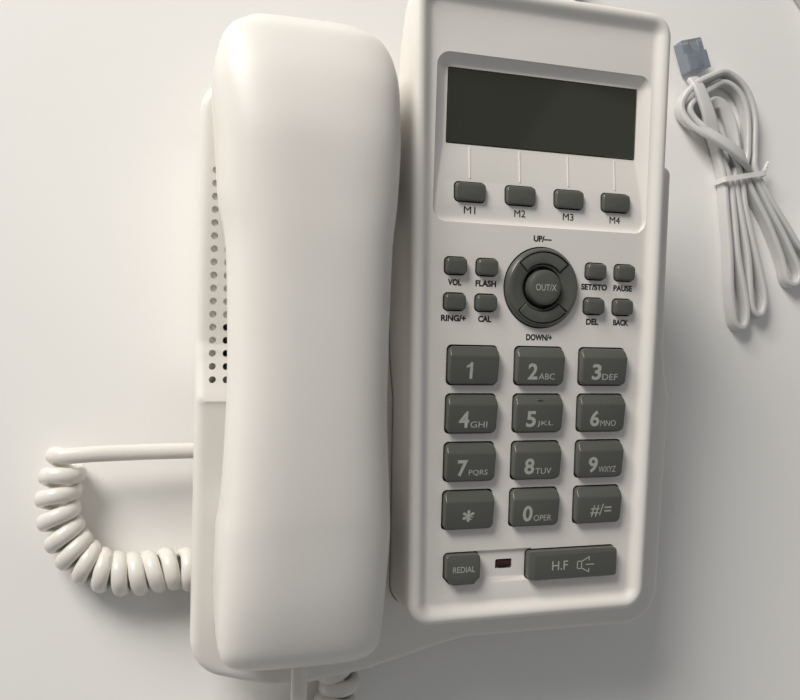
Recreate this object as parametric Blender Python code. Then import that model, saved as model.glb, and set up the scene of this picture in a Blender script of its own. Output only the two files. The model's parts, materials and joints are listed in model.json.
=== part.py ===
"""Corded desk telephone: a cradle base with a keypad panel, a handset and two cords.

Axes: +X to the user's right, +Y to the back, +Z up, metres, feet on z = 0.
The deck, the panel, the keys and the handset are modelled in the deck frame:
u to the right, v up the slope, w along the deck's normal. That frame is an empty
turned by TILT, with w = 0 on the panel's rim and v = 0 on the keypad's top row.
"""
import math

import bmesh
import bpy
from mathutils import Matrix, Vector

MM = 0.001
GAP = 0.3 * MM                          # between pieces that touch

# ---- driving dimensions -------------------------------------------------------------
TILT = math.radians(7)                  # slope of the panel and the deck
DECK_AT = Vector((20, -6.247, 50)) * MM  # world place of the deck frame's origin

# base
RIM_BOTTOM_W = -24.8 * MM               # underside of the upper housing's rim
SKIN = 2.2 * MM                         # moulded wall
FLOOR_Z = 3.2 * MM                      # underside of the lower housing
FLOOR_THICK = 2 * MM

# panel
FACE_W = -2 * MM                        # the face inside the raised rim
CEILING_W = -6 * MM                     # inside of the face
LCD_FLOOR_W = -4 * MM                   # floor of the display recess
DISPLAY = (61 * MM, 21 * MM)            # display window
DISPLAY_U, DISPLAY_V = 0.5 * MM, 73.8 * MM

# keys
KEY_FIT = 0.35 * MM                     # clearance round each key
KEY_BASE_W = -6.9 * MM
COLUMN, ROW = 21, 13.95                 # pitch of the number keys, in mm
NUMBER_KEY = (15.0 * MM, 10.9 * MM)
MEMORY_KEY = (9 * MM, 5.2 * MM)
SMALL_KEY = (6.1 * MM, 4.6 * MM)
NAV_U, NAV_V = 0 * MM, 23 * MM          # centre of the round key group
NAV_ARC = math.radians(96)              # each arc key's sweep
NAV_OUTER, NAV_INNER, NAV_HOLE = 11.6 * MM, 6.4 * MM, 5.2 * MM

LENS = (4.6 * MM, 2 * MM)               # the indicator
LENS_U, LENS_V = -8.5 * MM, -58.7 * MM

# handset
HANDSET_U = -69 * MM                    # its centre line
PARTING_W = -4 * MM                     # where its two shells meet

# cords
COIL_DIA = 12.8 * MM
CORD_DIA = 4.1 * MM                     # handset cord
LEAD_DIA = 2.6 * MM                     # flat line cord, across its thickness
COIL_Z = 6.7 * MM

# fittings of the lower housing, in mm
HANDSET_JACK = (-59, -30.5, 10.8)
LINE_JACK = (40, 56, 19)
SCREWS = [(-40, 40), (40, -60)]
FEET = [(-60, 56), (58, 44), (58, -71), (-14, -71)]

IVORY = (0.83, 0.80, 0.73)
GREY = (0.16, 0.16, 0.15)
DARK = (0.03, 0.035, 0.03)
CLEAR = (0.75, 0.8, 0.85)
METAL = (0.6, 0.6, 0.6)
GREEN = (0.05, 0.2, 0.08)


# ---- helpers ------------------------------------------------------------------------
def material(name, colour, roughness=0.45, metallic=0.0):
    made = bpy.data.materials.get(name) or bpy.data.materials.new(name)
    made.use_nodes = True
    shader = made.node_tree.nodes["Principled BSDF"]
    shader.inputs["Base Color"].default_value = (*colour, 1)
    shader.inputs["Roughness"].default_value = roughness
    shader.inputs["Metallic"].default_value = metallic
    return made


def place(name, mesh, mat, at=(0, 0, 0), parent=None):
    piece = bpy.data.objects.new(name, mesh)
    bpy.context.collection.objects.link(piece)
    piece.parent = parent
    piece.location = at
    mesh.materials.clear()
    mesh.materials.append(mat)
    return piece


def loft(name, rings):
    """A closed mesh through rings of equal length, capped at both ends."""
    work = bmesh.new()
    made = [[work.verts.new(p) for p in ring] for ring in rings]
    for a, b in zip(made, made[1:]):
        for i in range(len(a)):
            j = (i + 1) % len(a)
            work.faces.new((a[i], a[j], b[j], b[i]))
    work.faces.new(made[0])
    work.faces.new(list(reversed(made[-1])))
    bmesh.ops.recalc_face_normals(work, faces=work.faces)
    mesh = bpy.data.meshes.new(name)
    work.to_mesh(mesh)
    work.free()
    return mesh


def rounded(corners, steps=4):
    """Outline through (x, y, radius) corners, each an arc, or a point where the radius is 0."""
    points = []
    for i, (x, y, r) in enumerate(corners):
        here = Vector((x, y))
        if not r:
            points.append(here)
            continue
        back = (Vector(corners[i - 1][:2]) - here).normalized()
        ahead = (Vector(corners[(i + 1) % len(corners)][:2]) - here).normalized()
        half = back.angle(ahead) / 2
        centre = here + (back + ahead).normalized() * r / math.sin(half)
        start = here + back * r / math.tan(half) - centre
        end = here + ahead * r / math.tan(half) - centre
        sweep = math.atan2(start.cross(end), start.dot(end))
        for k in range(steps + 1):
            points.append(centre + Matrix.Rotation(sweep * k / steps, 2) @ start)
    return [(p.x, p.y) for p in points]


def rect(width, height, r, steps=2):
    x, y = width / 2, height / 2
    return rounded([(-x, -y, r), (x, -y, r), (x, y, r), (-x, y, r)], steps)


def inset(outline, d):
    """The outline moved inwards by d; outlines run counter-clockwise."""
    out = []
    n = len(outline)
    for i, p in enumerate(outline):
        a, b = Vector(outline[i - 1]), Vector(outline[(i + 1) % n])
        t = (b - a).normalized()
        out.append((p[0] - t.y * d, p[1] + t.x * d))
    return out


def level(outline, w):
    return [(x, y, w) for x, y in outline]


def prism(name, outline, low, high):
    return loft(name, [level(outline, low), level(outline, high)])


def stacked(name, outline, steps):
    """Rings of one outline: (inset, height) pairs, capped at both ends."""
    return loft(name, [level(inset(outline, d), h) for d, h in steps])


def box(low, high):
    outline = [(low[0], low[1]), (high[0], low[1]), (high[0], high[1]), (low[0], high[1])]
    return prism("box", outline, low[2], high[2])


def sweep_u(name, profile, low, high):
    """A (v, w) profile extruded along u."""
    return loft(name, [[(u, v, w) for v, w in profile] for u in (low, high)])


def joined(meshes):
    work = bmesh.new()
    for mesh in meshes:
        work.from_mesh(mesh)
    mesh = bpy.data.meshes.new("joined")
    work.to_mesh(mesh)
    work.free()
    return mesh


def carve(mesh, operation, tool):
    """The mesh after a Boolean with the tool mesh."""
    target = bpy.data.objects.new("target", mesh)
    cutter = bpy.data.objects.new("cutter", tool)
    for item in (target, cutter):
        bpy.context.collection.objects.link(item)
    cut = target.modifiers.new("cut", "BOOLEAN")
    cut.operation = operation
    cut.object = cutter
    bpy.context.view_layer.update()
    result = bpy.data.meshes.new_from_object(
        target.evaluated_get(bpy.context.evaluated_depsgraph_get()))
    for item in (target, cutter):
        bpy.data.objects.remove(item, do_unlink=True)
    return result


def smooth_path(points, count):
    """Evenly counted points on a Catmull-Rom curve through the given ones."""
    knots = [Vector(p) for p in points]
    knots = [2 * knots[0] - knots[1]] + knots + [2 * knots[-1] - knots[-2]]
    spans = len(knots) - 3
    out = []
    for k in range(count):
        at = min(k / (count - 1) * spans, spans - 1e-9)
        i, t = int(at), at - int(at)
        a, b, c, d = knots[i:i + 4]
        out.append(0.5 * (2 * b + (c - a) * t + (2 * a - 5 * b + 4 * c - d) * t ** 2
                          + (3 * b - a - 3 * c + d) * t ** 3))
    return out


def tube(name, points, diameter, count, mat):
    curve = bpy.data.curves.new(name, "CURVE")
    curve.dimensions = "3D"
    curve.bevel_depth = diameter / 2
    curve.bevel_resolution = 2
    curve.use_fill_caps = True
    spline = curve.splines.new("POLY")
    path = smooth_path(points, count)
    spline.points.add(len(path) - 1)
    for knot, p in zip(spline.points, path):
        knot.co = (*p, 1)
    piece = bpy.data.objects.new(name, curve)
    bpy.context.collection.objects.link(piece)
    curve.materials.append(mat)
    return piece


# ---- the base's shells --------------------------------------------------------------
BASE_CORNERS = [(-97, -90, 12), (-70, -98.5, 40), (-44, -95, 30), (-14, -87.5, 50),
                (57, -88, 12), (57, 66, 3), (-27, 66, 5), (-40, 79.5, 6), (-97, 79.5, 10)]
DECK_PROFILE = [(-104, -21.5), (-92, -20.4), (-55, -19.3), (-16, -17.9), (-12, -17.5), (-7, -19),
                (2, -21.3), (14, -22), (100, -22)]
EAR_WELL = (HANDSET_U, 63.5 * MM, 39 * MM, 17 * MM)
EAR_WELL_FLOOR = -27 * MM
MOUTH_WELL = (HANDSET_U + 0.5 * MM, -64 * MM, 44 * MM, 36 * MM)
MOUTH_WELL_FLOOR = -22.6 * MM
HOOK_AT = (HANDSET_U, 63.5 * MM)
HOOK_SIZE = (9 * MM, 5 * MM)


def scaled(points):
    return [tuple(c * MM for c in p) for p in points]


def well(spec, grow, low, high):
    u, v, width, length = spec
    outline = [(u + x, v + y) for x, y in rect(width + 2 * grow, length + 2 * grow, 5 * MM + grow)]
    return prism("well", outline, low, high)


def profile_solid(drop, bottom):
    """Everything under the deck's surface, lowered by drop, down to bottom."""
    top = [(v * MM, w * MM - drop) for v, w in DECK_PROFILE]
    return sweep_u("profile", [(top[0][0], bottom)] + top + [(top[-1][0], bottom)],
                   -0.12, 0.08)


PANEL_CORNERS = [(-38.0, -75, 7), (38.4, -75, 7), (39.9, 30, 0), (40, 62, 0), (40, 64.5, 0),
                 (40.1, 90, 0), (40.2, 107, 7), (-42.1, 107, 7), (-41.7, 90, 0), (-41.2, 64.5, 0),
                 (-41.1, 62, 0), (-40, 10, 0)]
# underside of the panel from front to back: its walls stand in the deck's opening, and
# behind the deck a closed hood runs out to a thin edge
PANEL_UNDERSIDE = [(-80, -24.4), (62, -24.4), (64.5, -17.5), (90, -13.5), (107, -5.5)]


def make_upper_housing(deck, plastic):
    outline = rounded(scaled(BASE_CORNERS))
    body = carve(prism("body", outline, -0.06, 0), "INTERSECT",
                 profile_solid(0, RIM_BOTTOM_W))
    inner = rounded(scaled([(-58, -72, 8), (-30, -80, 8), (52, -80, 8), (52, 61, 3), (-30, 61, 4),
                            (-43, 74.5, 4), (-92, 74.5, 6), (-92, -2, 4), (-76, -8, 4),
                            (-76, -44, 4)]))
    cavity = carve(prism("inner", inner, -0.06, 0), "INTERSECT", profile_solid(SKIN, -0.03))
    body = carve(body, "DIFFERENCE", cavity)
    body = carve(body, "UNION", well(EAR_WELL, 2 * MM, EAR_WELL_FLOOR - SKIN, -22.5 * MM))
    body = carve(body, "UNION", well(MOUTH_WELL, 2 * MM, RIM_BOTTOM_W + 0.05 * MM, -20.5 * MM))
    body = carve(body, "DIFFERENCE", well(EAR_WELL, 0, EAR_WELL_FLOOR, 0))
    body = carve(body, "DIFFERENCE", well(MOUTH_WELL, 0, MOUTH_WELL_FLOOR, 0))
    # the panel's walls stand in an opening of the deck, and the hook switch comes through
    opening = inset(rounded(scaled(PANEL_CORNERS)), -GAP)
    u, v = HOOK_AT
    x, y = (HOOK_SIZE[0] / 2 + KEY_FIT, HOOK_SIZE[1] / 2 + KEY_FIT)
    slots = [box((HANDSET_U - 19 * MM, s * MM, -0.05), (HANDSET_U + 19 * MM, (s + 3) * MM, -0.01))
             for s in (6, 15, 24, 33, 42)]
    cuts = [prism("opening", opening, -0.05, 0), box((u - x, v - y, -0.05), (u + x, v + y, -0.01))]
    body = carve(body, "DIFFERENCE", joined(cuts + slots))
    return place("upper_housing", body, plastic, parent=deck)


def key_layout():
    """Every key as (node, kind, u, v), in millimetres."""
    names = "one two three four five six seven eight nine star zero hash".split()
    keys = [(f"key_{name}", "number", (i % 3 - 1) * COLUMN, -(i // 3) * ROW)
            for i, name in enumerate(names)]
    keys += [(f"key_memory_{i + 1}", "memory", -23 + 15.7 * i, 49.4) for i in range(4)]
    sides = {"key_volume": (-27.1, 28.2), "key_flash": (-17.5, 28.2), "key_ring": (-27.1, 18),
             "key_calibrate": (-17.5, 18), "key_store": (17.6, 28.5), "key_pause": (27.4, 28.5),
             "key_delete": (17.4, 18.1), "key_back": (27.2, 18.1)}
    keys += [(name, "small", u, v) for name, (u, v) in sides.items()]
    keys.append(("key_redial", "redial", -22.3, -59))
    keys.append(("key_handsfree", "handsfree", 13.1, -59.2))
    return keys


KEY_SIZE = {"number": NUMBER_KEY, "memory": MEMORY_KEY, "small": SMALL_KEY,
            "redial": (10.4 * MM, 8.7 * MM), "handsfree": (29 * MM, 8.5 * MM)}
KEY_TOP = {"number": 0.8 * MM, "memory": -1.6 * MM, "small": 0 * MM, "redial": 0.4 * MM,
           "handsfree": 0.4 * MM}


def make_control_panel(deck, plastic):
    outer = rounded(scaled(PANEL_CORNERS))
    rings = [level(outer, PANEL_UNDERSIDE[0][1] * MM), level(outer, -2 * MM), level(inset(outer, 0.8 * MM), -0.5 * MM),
             level(inset(outer, 2 * MM), 0), level(inset(outer, 3.6 * MM), -0.2 * MM),
             level(inset(outer, 5 * MM), FACE_W)]
    body = loft("control_panel", rings)
    below = scaled(PANEL_UNDERSIDE[1:] + [(115, -5.5), (115, -30), (62, -30)])
    body = carve(body, "DIFFERENCE", sweep_u("below", below, -0.06, 0.06))
    inside = [(-0.09, -0.03), (60 * MM, -0.03), (62.5 * MM, -15.4 * MM), (92 * MM, -10.8 * MM),
              (92 * MM, CEILING_W), (-0.09, CEILING_W)]
    cavity = carve(prism("inner", inset(outer, SKIN), -0.06, 0.01), "INTERSECT",
                   sweep_u("inside", inside, -0.06, 0.06))
    body = carve(body, "DIFFERENCE", cavity)
    recess = [(u, v + 64 * MM) for u, v in rect(68.5 * MM, 47 * MM, 4 * MM)]
    body = carve(body, "DIFFERENCE", prism("recess", recess, LCD_FLOOR_W, 0.01))
    width, height = (side / 2 + GAP for side in DISPLAY)
    holes = [box((DISPLAY_U - width, DISPLAY_V - height, -0.01),
                 (DISPLAY_U + width, DISPLAY_V + height, 0.01))]
    for _, kind, u, v in key_layout():
        x, y = (side / 2 + KEY_FIT for side in KEY_SIZE[kind])
        holes.append(box((u * MM - x, v * MM - y, -0.01), (u * MM + x, v * MM + y, 0.01)))
    x, y = (side / 2 + GAP for side in LENS)
    holes.append(box((LENS_U - x, LENS_V - y, -0.01), (LENS_U + x, LENS_V + y, 0.01)))
    ring = [(NAV_U + x, NAV_V + y) for x, y in circle(NAV_OUTER + GAP, 24)]
    holes.append(prism("ring", ring, -0.01, 0.01))
    return place("control_panel", carve(body, "DIFFERENCE", joined(holes)), plastic, parent=deck)


def circle(radius, count, start=0.0, sweep=2 * math.pi):
    full = abs(sweep - 2 * math.pi) < 1e-9
    steps = count if full else count - 1
    return [(radius * math.cos(start + sweep * i / steps), radius * math.sin(start + sweep * i / steps))
            for i in range(count)]


def make_keys(deck, plastic):
    for name, kind, u, v in key_layout():
        width, height = KEY_SIZE[kind]
        top = KEY_TOP[kind] - KEY_BASE_W
        outline = rect(width, height, 1.3 * MM)
        mesh = stacked(name, outline, [(0, 0), (0, top - 0.9 * MM), (0.5 * MM, top - 0.15 * MM),
                                       (1 * MM, top)])
        place(name, mesh, plastic, (u * MM, v * MM, KEY_BASE_W), deck)


def arc_outline(inner, outer, middle, spread):
    """A slice of a ring, centred on the angle middle."""
    outside = circle(outer, 9, middle - spread / 2, spread)
    return outside + list(reversed(circle(inner, 9, middle - spread / 2, spread)))


def make_nav_group(deck, plastic):
    """A fixed ring, two arc keys let into it and a round key in its middle."""
    low = KEY_BASE_W
    ring = loft("ring", [level(circle(r, 24), w - low) for r, w in
                         ((NAV_HOLE + 0.9 * MM, low + 0.6 * MM), (NAV_OUTER, low + 0.6 * MM),
                          (NAV_OUTER, -0.9 * MM), (NAV_OUTER - 0.8 * MM, 0),
                          (NAV_HOLE + 1.4 * MM, -0.4 * MM), (NAV_HOLE + 0.9 * MM, -1.2 * MM))])
    # the loft above is capped inside; the centre is bored out for the round key
    bore = [prism("bore", circle(NAV_HOLE + KEY_FIT, 24), -0.01, 0.02)]
    slack = 2 * KEY_FIT / NAV_INNER
    for middle in (math.pi / 2, -math.pi / 2):
        bore.append(prism("arc", arc_outline(NAV_INNER + 0.35 * MM, NAV_OUTER - 0.85 * MM, middle,
                                             NAV_ARC + slack), -0.01, 0.02))
    place("nav_ring", carve(ring, "DIFFERENCE", joined(bore)), plastic, (NAV_U, NAV_V, low), deck)
    for name, middle in (("key_up", math.pi / 2), ("key_down", -math.pi / 2)):
        outline = arc_outline(NAV_INNER + 0.7 * MM, NAV_OUTER - 1.2 * MM, middle, NAV_ARC)
        mesh = stacked(name, outline, [(0, 0), (0, 6.9 * MM), (0.3 * MM, 7.2 * MM)])
        place(name, mesh, plastic, (NAV_U, NAV_V, low), deck)
    mesh = stacked("key_out", circle(NAV_HOLE, 20), [(0, 0), (0, 7.4 * MM), (0.5 * MM, 8.1 * MM),
                                                     (1.4 * MM, 8.4 * MM)])
    place("key_out", mesh, plastic, (NAV_U, NAV_V, low), deck)


def make_panel_insides(deck):
    """The display, the rubber keypad sheet and the circuit board, under the panel."""
    glass = material("display_window", (0.05, 0.055, 0.04), 0.15)
    window = prism("display_window", rect(*DISPLAY, 0.5 * MM), 0, 1.4 * MM)
    place("display_window", window, glass, (DISPLAY_U, DISPLAY_V, -5.9 * MM), deck)
    module = prism("lcd_module", rect(70 * MM, 28 * MM, 1 * MM), 0, 2.6 * MM)
    place("lcd_module", module, material("lcd_module", METAL, 0.3, 0.8),
          (DISPLAY_U, DISPLAY_V, -9 * MM), deck)
    sheet = [(x, y - 5 * MM) for x, y in rect(68 * MM, 122 * MM, 3 * MM)]
    place("keypad_membrane", prism("keypad_membrane", sheet, 0, 0.7 * MM),
          material("keypad_membrane", (0.5, 0.5, 0.48), 0.8), (0, 0, -9.2 * MM), deck)
    board = prism("main_board", rect(70 * MM, 150 * MM, 2 * MM), 0, 1.6 * MM)
    place("main_board", board, material("main_board", GREEN, 0.5), (0, 8 * MM, -11.2 * MM), deck)
    lens = prism("indicator_lens", rect(*LENS, 0.4 * MM), 0, 4.6 * MM)
    place("indicator_lens", lens, material("indicator_lens", (0.15, 0.02, 0.02), 0.2),
          (LENS_U, LENS_V, -6.4 * MM), deck)


def slope_z(y, w):
    """World height at world y of the deck-frame plane w."""
    return DECK_AT.z + (w + (y - DECK_AT.y) * math.sin(TILT)) / math.cos(TILT)


LOWER_CORNERS = [(-22, -83, 5), (70, -83, 8), (70, 56, 4), (-3, 56, 4), (-20, 73.6, 4), (-74, 73.6, 6),
                 (-74, -9, 3), (-59, -14, 3), (-59, -46, 4)]


def make_lower_housing(plastic):
    """A pan open at the top, cut back at the front left to let the coiled cord pass."""
    outer = rounded(scaled(LOWER_CORNERS), 3)
    inner = inset(outer, SKIN)
    foot = inset(outer, 1 * MM)
    top_w = RIM_BOTTOM_W - GAP
    rings = [level(inner, FLOOR_Z + FLOOR_THICK), [(x, y, slope_z(y, top_w)) for x, y in inner],
             [(x, y, slope_z(y, top_w)) for x, y in outer], level(outer, FLOOR_Z + 1 * MM),
             level(foot, FLOOR_Z)]
    body = loft("lower_housing", rings)
    jacks = []
    for centre, size in ((HANDSET_JACK, (8, 12.6, 9.6)), (LINE_JACK, (12.6, 8, 11.6))):
        half = Vector(size) * MM / 2
        centre = Vector(centre) * MM
        jacks.append(box(centre - half, centre + half))
    body = carve(body, "DIFFERENCE", joined(jacks))
    screws = [prism("screw", [(x * MM + a, y * MM + b) for a, b in circle(2.6 * MM, 10)],
                    FLOOR_Z - 0.001, FLOOR_Z + 1.2 * MM) for x, y in SCREWS]
    body = carve(body, "DIFFERENCE", joined(screws))
    return place("lower_housing", body, plastic)


def jack(name, centre, size, port, port_axis, mat):
    """A socket block with a blind port in one face."""
    half = Vector(size) * MM / 2
    body = box(-half, half)
    reach = Vector((port[0], port[1], port[2])) * MM / 2
    shift = Vector(port_axis) * 4 * MM
    body = carve(body, "DIFFERENCE", box(shift - reach, shift + reach))
    place(name, body, mat, Vector(centre) * MM)


def make_base_fittings():
    black = material("jack", DARK, 0.5)
    jack("handset_jack", (-54.2, -30.5, 10.8), (12, 12, 9), (12, 7.8, 5.4), (-1, 0, 0), black)
    jack("line_jack", (40, 51.2, 19), (12, 12, 11), (10, 12, 6.8), (0, 1, 0), black)
    rubber = material("foot", DARK, 0.9)
    for i, (x, y) in enumerate(FEET):
        foot = stacked("foot", circle(6 * MM, 16), [(0.6 * MM, 0), (0, 0.8 * MM), (0, FLOOR_Z - GAP)])
        place(f"foot_{i + 1}", foot, rubber, (x * MM, y * MM, 0))
    steel = material("screw", METAL, 0.3, 1.0)
    for i, (x, y) in enumerate(SCREWS):
        head = stacked("screw", circle(2.3 * MM, 12), [(0.4 * MM, 0), (0, 0.3 * MM), (0, 1 * MM)])
        slot = box((-1.6 * MM, -0.3 * MM, -0.001), (1.6 * MM, 0.3 * MM, 0.4 * MM))
        place(f"housing_screw_{i + 1}", carve(head, "DIFFERENCE", slot), steel,
              (x * MM, y * MM, FLOOR_Z - 0.1 * MM))


def make_deck_fittings(deck):
    """The loudspeaker under the grille and the hook switch in the ear well."""
    paper = material("loudspeaker", DARK, 0.7)
    speaker = loft("loudspeaker", [level(circle(r * MM, 24), w * MM) for r, w in
                                   ((12, -14), (12, -8), (18, -2), (18, 0), (15.5, 0), (8, -4))])
    place("loudspeaker", speaker, paper, (HANDSET_U, 26.5 * MM, -24.8 * MM), deck)
    x, y = HOOK_SIZE
    plunger = stacked("hook_switch", rect(x, y, 0.8 * MM), [(0, 0), (0, 6.2 * MM),
                                                            (0.6 * MM, 6.8 * MM)])
    place("hook_switch", plunger, material("hook_switch", GREY, 0.5),
          (*HOOK_AT, -33.8 * MM), deck)


# ---- the handset --------------------------------------------------------------------
# Stations along v, in mm: left and right edge, height of the back and depth of the face,
# both from the parting plane.
HANDSET = [(-86, -85, -53, 3, -9), (-84, -90, -47, 7.5, -12), (-79, -92, -45, 11.5, -14.8),
           (-62, -92.5, -45, 15, -14.8), (-46, -91.8, -45.2, 16.5, -14.2), (-36, -91, -45.8, 17.3, -5),
           (-5, -90, -47.5, 18, -2.5), (30, -91, -47.2, 18, -4), (44, -93, -46, 17.6, -15),
           (58, -94, -45.5, 17, -17.2), (75, -95.5, -45.3, 14, -17.2), (84, -95, -46, 10, -14),
           (89, -93, -49, 7, -11), (92, -88, -55, 3, -5)]
EAR_CUP = (HANDSET_U, 63.5 * MM, 36 * MM, 14.4 * MM)
MOUTH_CUP = (HANDSET_U + 0.5 * MM, -64 * MM, 40 * MM, 30 * MM)


def dome(left, right, rise, power, count=11):
    """Half a flattened ellipse from left to right, standing on the parting plane."""
    middle, half = (left + right) / 2, (right - left) / 2
    out = []
    for i in range(count):
        angle = math.pi * i / (count - 1)
        c, s = math.cos(angle), math.sin(angle)
        out.append((middle - half * math.copysign(abs(c) ** power, c), rise * s ** power))
    return out


def handset_rings(side, wall):
    """Section rings along the handset; wall moves the surface inwards."""
    rings = []
    last = len(HANDSET) - 1
    for i, (v, left, right, back, face) in enumerate(HANDSET):
        if wall:
            v = max(min(v, HANDSET[last][0] - wall), HANDSET[0][0] + wall)
            if i in (0, last):
                continue
        if side == "back":
            arch = dome(left + wall, right - wall, max(back - wall, 1), 0.62)
            foot = -1.0 if wall else 0.2
        else:
            arch = dome(left + wall, right - wall, min(face + wall, -0.9), 0.45)
            foot = 1.0 if wall else -0.2
        ring = [(arch[0][0], foot)] + arch[1:-1] + [(arch[-1][0], foot)]
        rings.append([(u * MM, v * MM, w * MM) for u, w in ring])
    return rings


def make_handset(handset, plastic):
    back = carve(loft("back", handset_rings("back", 0)), "DIFFERENCE",
                 loft("inner", handset_rings("back", 2.4)))
    place("handset_back_shell", back, plastic, parent=handset)
    face = loft("face", handset_rings("face", 0))
    for cup, floor in ((EAR_CUP, EAR_WELL_FLOOR), (MOUTH_CUP, MOUTH_WELL_FLOOR)):
        face = carve(face, "UNION", well(cup, 0, floor + GAP - PARTING_W, -10 * MM))
    slot = box((-71 * MM, -0.09, -7.6 * MM), (-64 * MM, -0.078, -3 * MM))
    cuts = [loft("inner", handset_rings("face", 2.4)), slot]
    for u in (-77, -69, -61):
        for v in (63.5, -63):
            cuts.append(box(((u - 1) * MM, (v - 5) * MM, -0.03), ((u + 1) * MM, (v + 5) * MM, -0.01)))
    for cut in cuts:
        face = carve(face, "DIFFERENCE", cut)
    place("handset_face_shell", face, plastic, parent=handset)
    dark = material("capsule", DARK, 0.6)
    receiver = stacked("handset_receiver", circle(13.5 * MM, 20), [(0, 0), (0, 5 * MM),
                                                                  (4 * MM, 8 * MM)])
    place("handset_receiver", receiver, dark, (-70 * MM, 64 * MM, -9 * MM), handset)
    mic = prism("handset_microphone", circle(5 * MM, 16), 0, 5 * MM)
    place("handset_microphone", mic, dark, (-69 * MM, -63 * MM, -12 * MM), handset)


# ---- cords --------------------------------------------------------------------------
COIL_ROUTE = [(-104, -30.8), (-109.5, -32.4), (-113.6, -38.5), (-114, -47), (-112, -54.3),
              (-107, -61.5), (-100, -65.5), (-92, -66.6), (-80, -65.8), (-68, -69), (-55, -75.5),
              (-42, -85), (-32.5, -97), (-31, -107), (-38, -117.5), (-54, -123.5), (-74, -124.5),
              (-92, -120)]
BASE_TAIL = [(-61.7, -30.5, 10.8), (-70, -30.5, 10.6), (-78, -30.5, 10), (-88, -30.5, 8.2),
             (-96, -30.6, 7), (-103.6, -30.75, 6.7)]
HANDSET_TAIL = [(-47.5, -91.8, 30.2), (-47.5, -101, 29), (-47.2, -112, 26.5), (-47, -126, 21.5),
                (-51, -139, 14.5), (-62, -149, 7), (-77, -152, 3), (-93, -149, 2.6),
                (-105, -140, 3), (-109, -129, 4.6), (-103, -119, 6.4), (-92.4, -120, 6.7)]
LEAD_ROUTE = [(40, 64.2, 19), (40.5, 72, 18.5), (43, 82, 14), (47, 94, 7), (52, 108, 2.4),
              (57, 124, 1.6), (62, 142, 1.6), (74, 158, 1.6), (96, 166, 1.6), (122, 167, 1.6),
              (148, 162, 1.6), (166, 147, 1.6), (175, 124, 1.6), (177, 98, 1.6), (175, 72, 1.6),
              (168.6, 52, 1.6), (161.8, 44, 1.6)]
HANK = [(121, 62, 3), (127, 40, 3), (122, 8, 5), (137, 8, 5), (142, 40, 3), (156, 26, 5),
        (164, 38, 5), (148, 62, 4), (143, 77, 4), (141, 100, 8), (133, 113, 7), (121, 115.5, 3),
        (113, 107, 3), (103, 103, 3), (103, 88, 6)]
PLUG_AT = (110.4, 117.5, 0.3)           # the free plug
PLUG_TURN = math.radians(16)


def flat(points, z):
    return [(x * MM, y * MM, z) for x, y in points]


def make_cords():
    coil = material("handset_cord", IVORY, 0.4)
    tube("handset_cord_coil", flat(COIL_ROUTE, COIL_Z), COIL_DIA, 44, coil)
    tube("handset_cord_base_tail", scaled(BASE_TAIL), CORD_DIA, 9, coil)
    tube("handset_cord_handset_tail", scaled(HANDSET_TAIL), CORD_DIA, 32, coil)
    grey = material("line_cord", (0.55, 0.55, 0.56), 0.45)
    tube("line_cord_lead", scaled(LEAD_ROUTE), LEAD_DIA, 60, grey)
    hank = stacked("line_cord_hank", rounded(scaled(HANK), 2), [(0.6 * MM, 0.3 * MM), (0, 1.5 * MM),
                                                               (0, 5 * MM), (0.8 * MM, 6.5 * MM)])
    place("line_cord_hank", hank, grey)
    clear = material("line_plug", CLEAR, 0.15)
    plug = stacked("line_plug", rect(9.6 * MM, 12.4 * MM, 0.4 * MM), [(0.3 * MM, 0), (0, 0.4 * MM),
                                                                     (0, 6.2 * MM), (0.4 * MM, 6.6 * MM)])
    free = place("line_cord_free_plug", plug, clear, Vector(PLUG_AT) * MM)
    free.rotation_euler = (0, 0, PLUG_TURN)
    seated = prism("line_cord_plug", rect(9.6 * MM, 9.6 * MM, 0.4 * MM), -3 * MM, 3 * MM)
    place("line_cord_plug", seated, clear, Vector((40, 58.9, 19)) * MM)
    small = prism("handset_cord_plug", rect(8 * MM, 7 * MM, 0.4 * MM), -2.4 * MM, 2.4 * MM)
    place("handset_cord_plug", small, clear, Vector((-57.5 + 0.2, -30.5, 10.8)) * MM)


def make_phone():
    for item in list(bpy.data.objects):
        bpy.data.objects.remove(item, do_unlink=True)
    deck = bpy.data.objects.new("deck_frame", None)
    bpy.context.collection.objects.link(deck)
    deck.rotation_euler = (TILT, 0, 0)
    deck.location = DECK_AT
    handset = bpy.data.objects.new("handset_frame", None)
    bpy.context.collection.objects.link(handset)
    handset.parent = deck
    handset.location = (0, 0, PARTING_W)
    bpy.context.view_layer.update()
    plastic = material("shell", IVORY, 0.4)
    grey = material("key", GREY, 0.5)
    make_upper_housing(deck, plastic)
    make_control_panel(deck, plastic)
    make_keys(deck, grey)
    make_nav_group(deck, grey)
    make_panel_insides(deck)
    make_lower_housing(plastic)
    make_base_fittings()
    make_deck_fittings(deck)
    make_handset(handset, plastic)
    make_cords()


make_phone()
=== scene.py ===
# %% [markdown]
# # A corded desk telephone
# A cradle base with a keypad panel, a handset that lifts off, a coiled handset cord
# and a flat line cord tied in a hank. The CAD frame gives every place and every joint;
# this lesson builds the surfaces that the eye meets. Lengths are in millimetres while a
# piece is modelled, and become metres when it is placed.

# %% The frame
import json
import math

import bmesh
import bpy
from mathutils import Matrix, Vector

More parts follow.
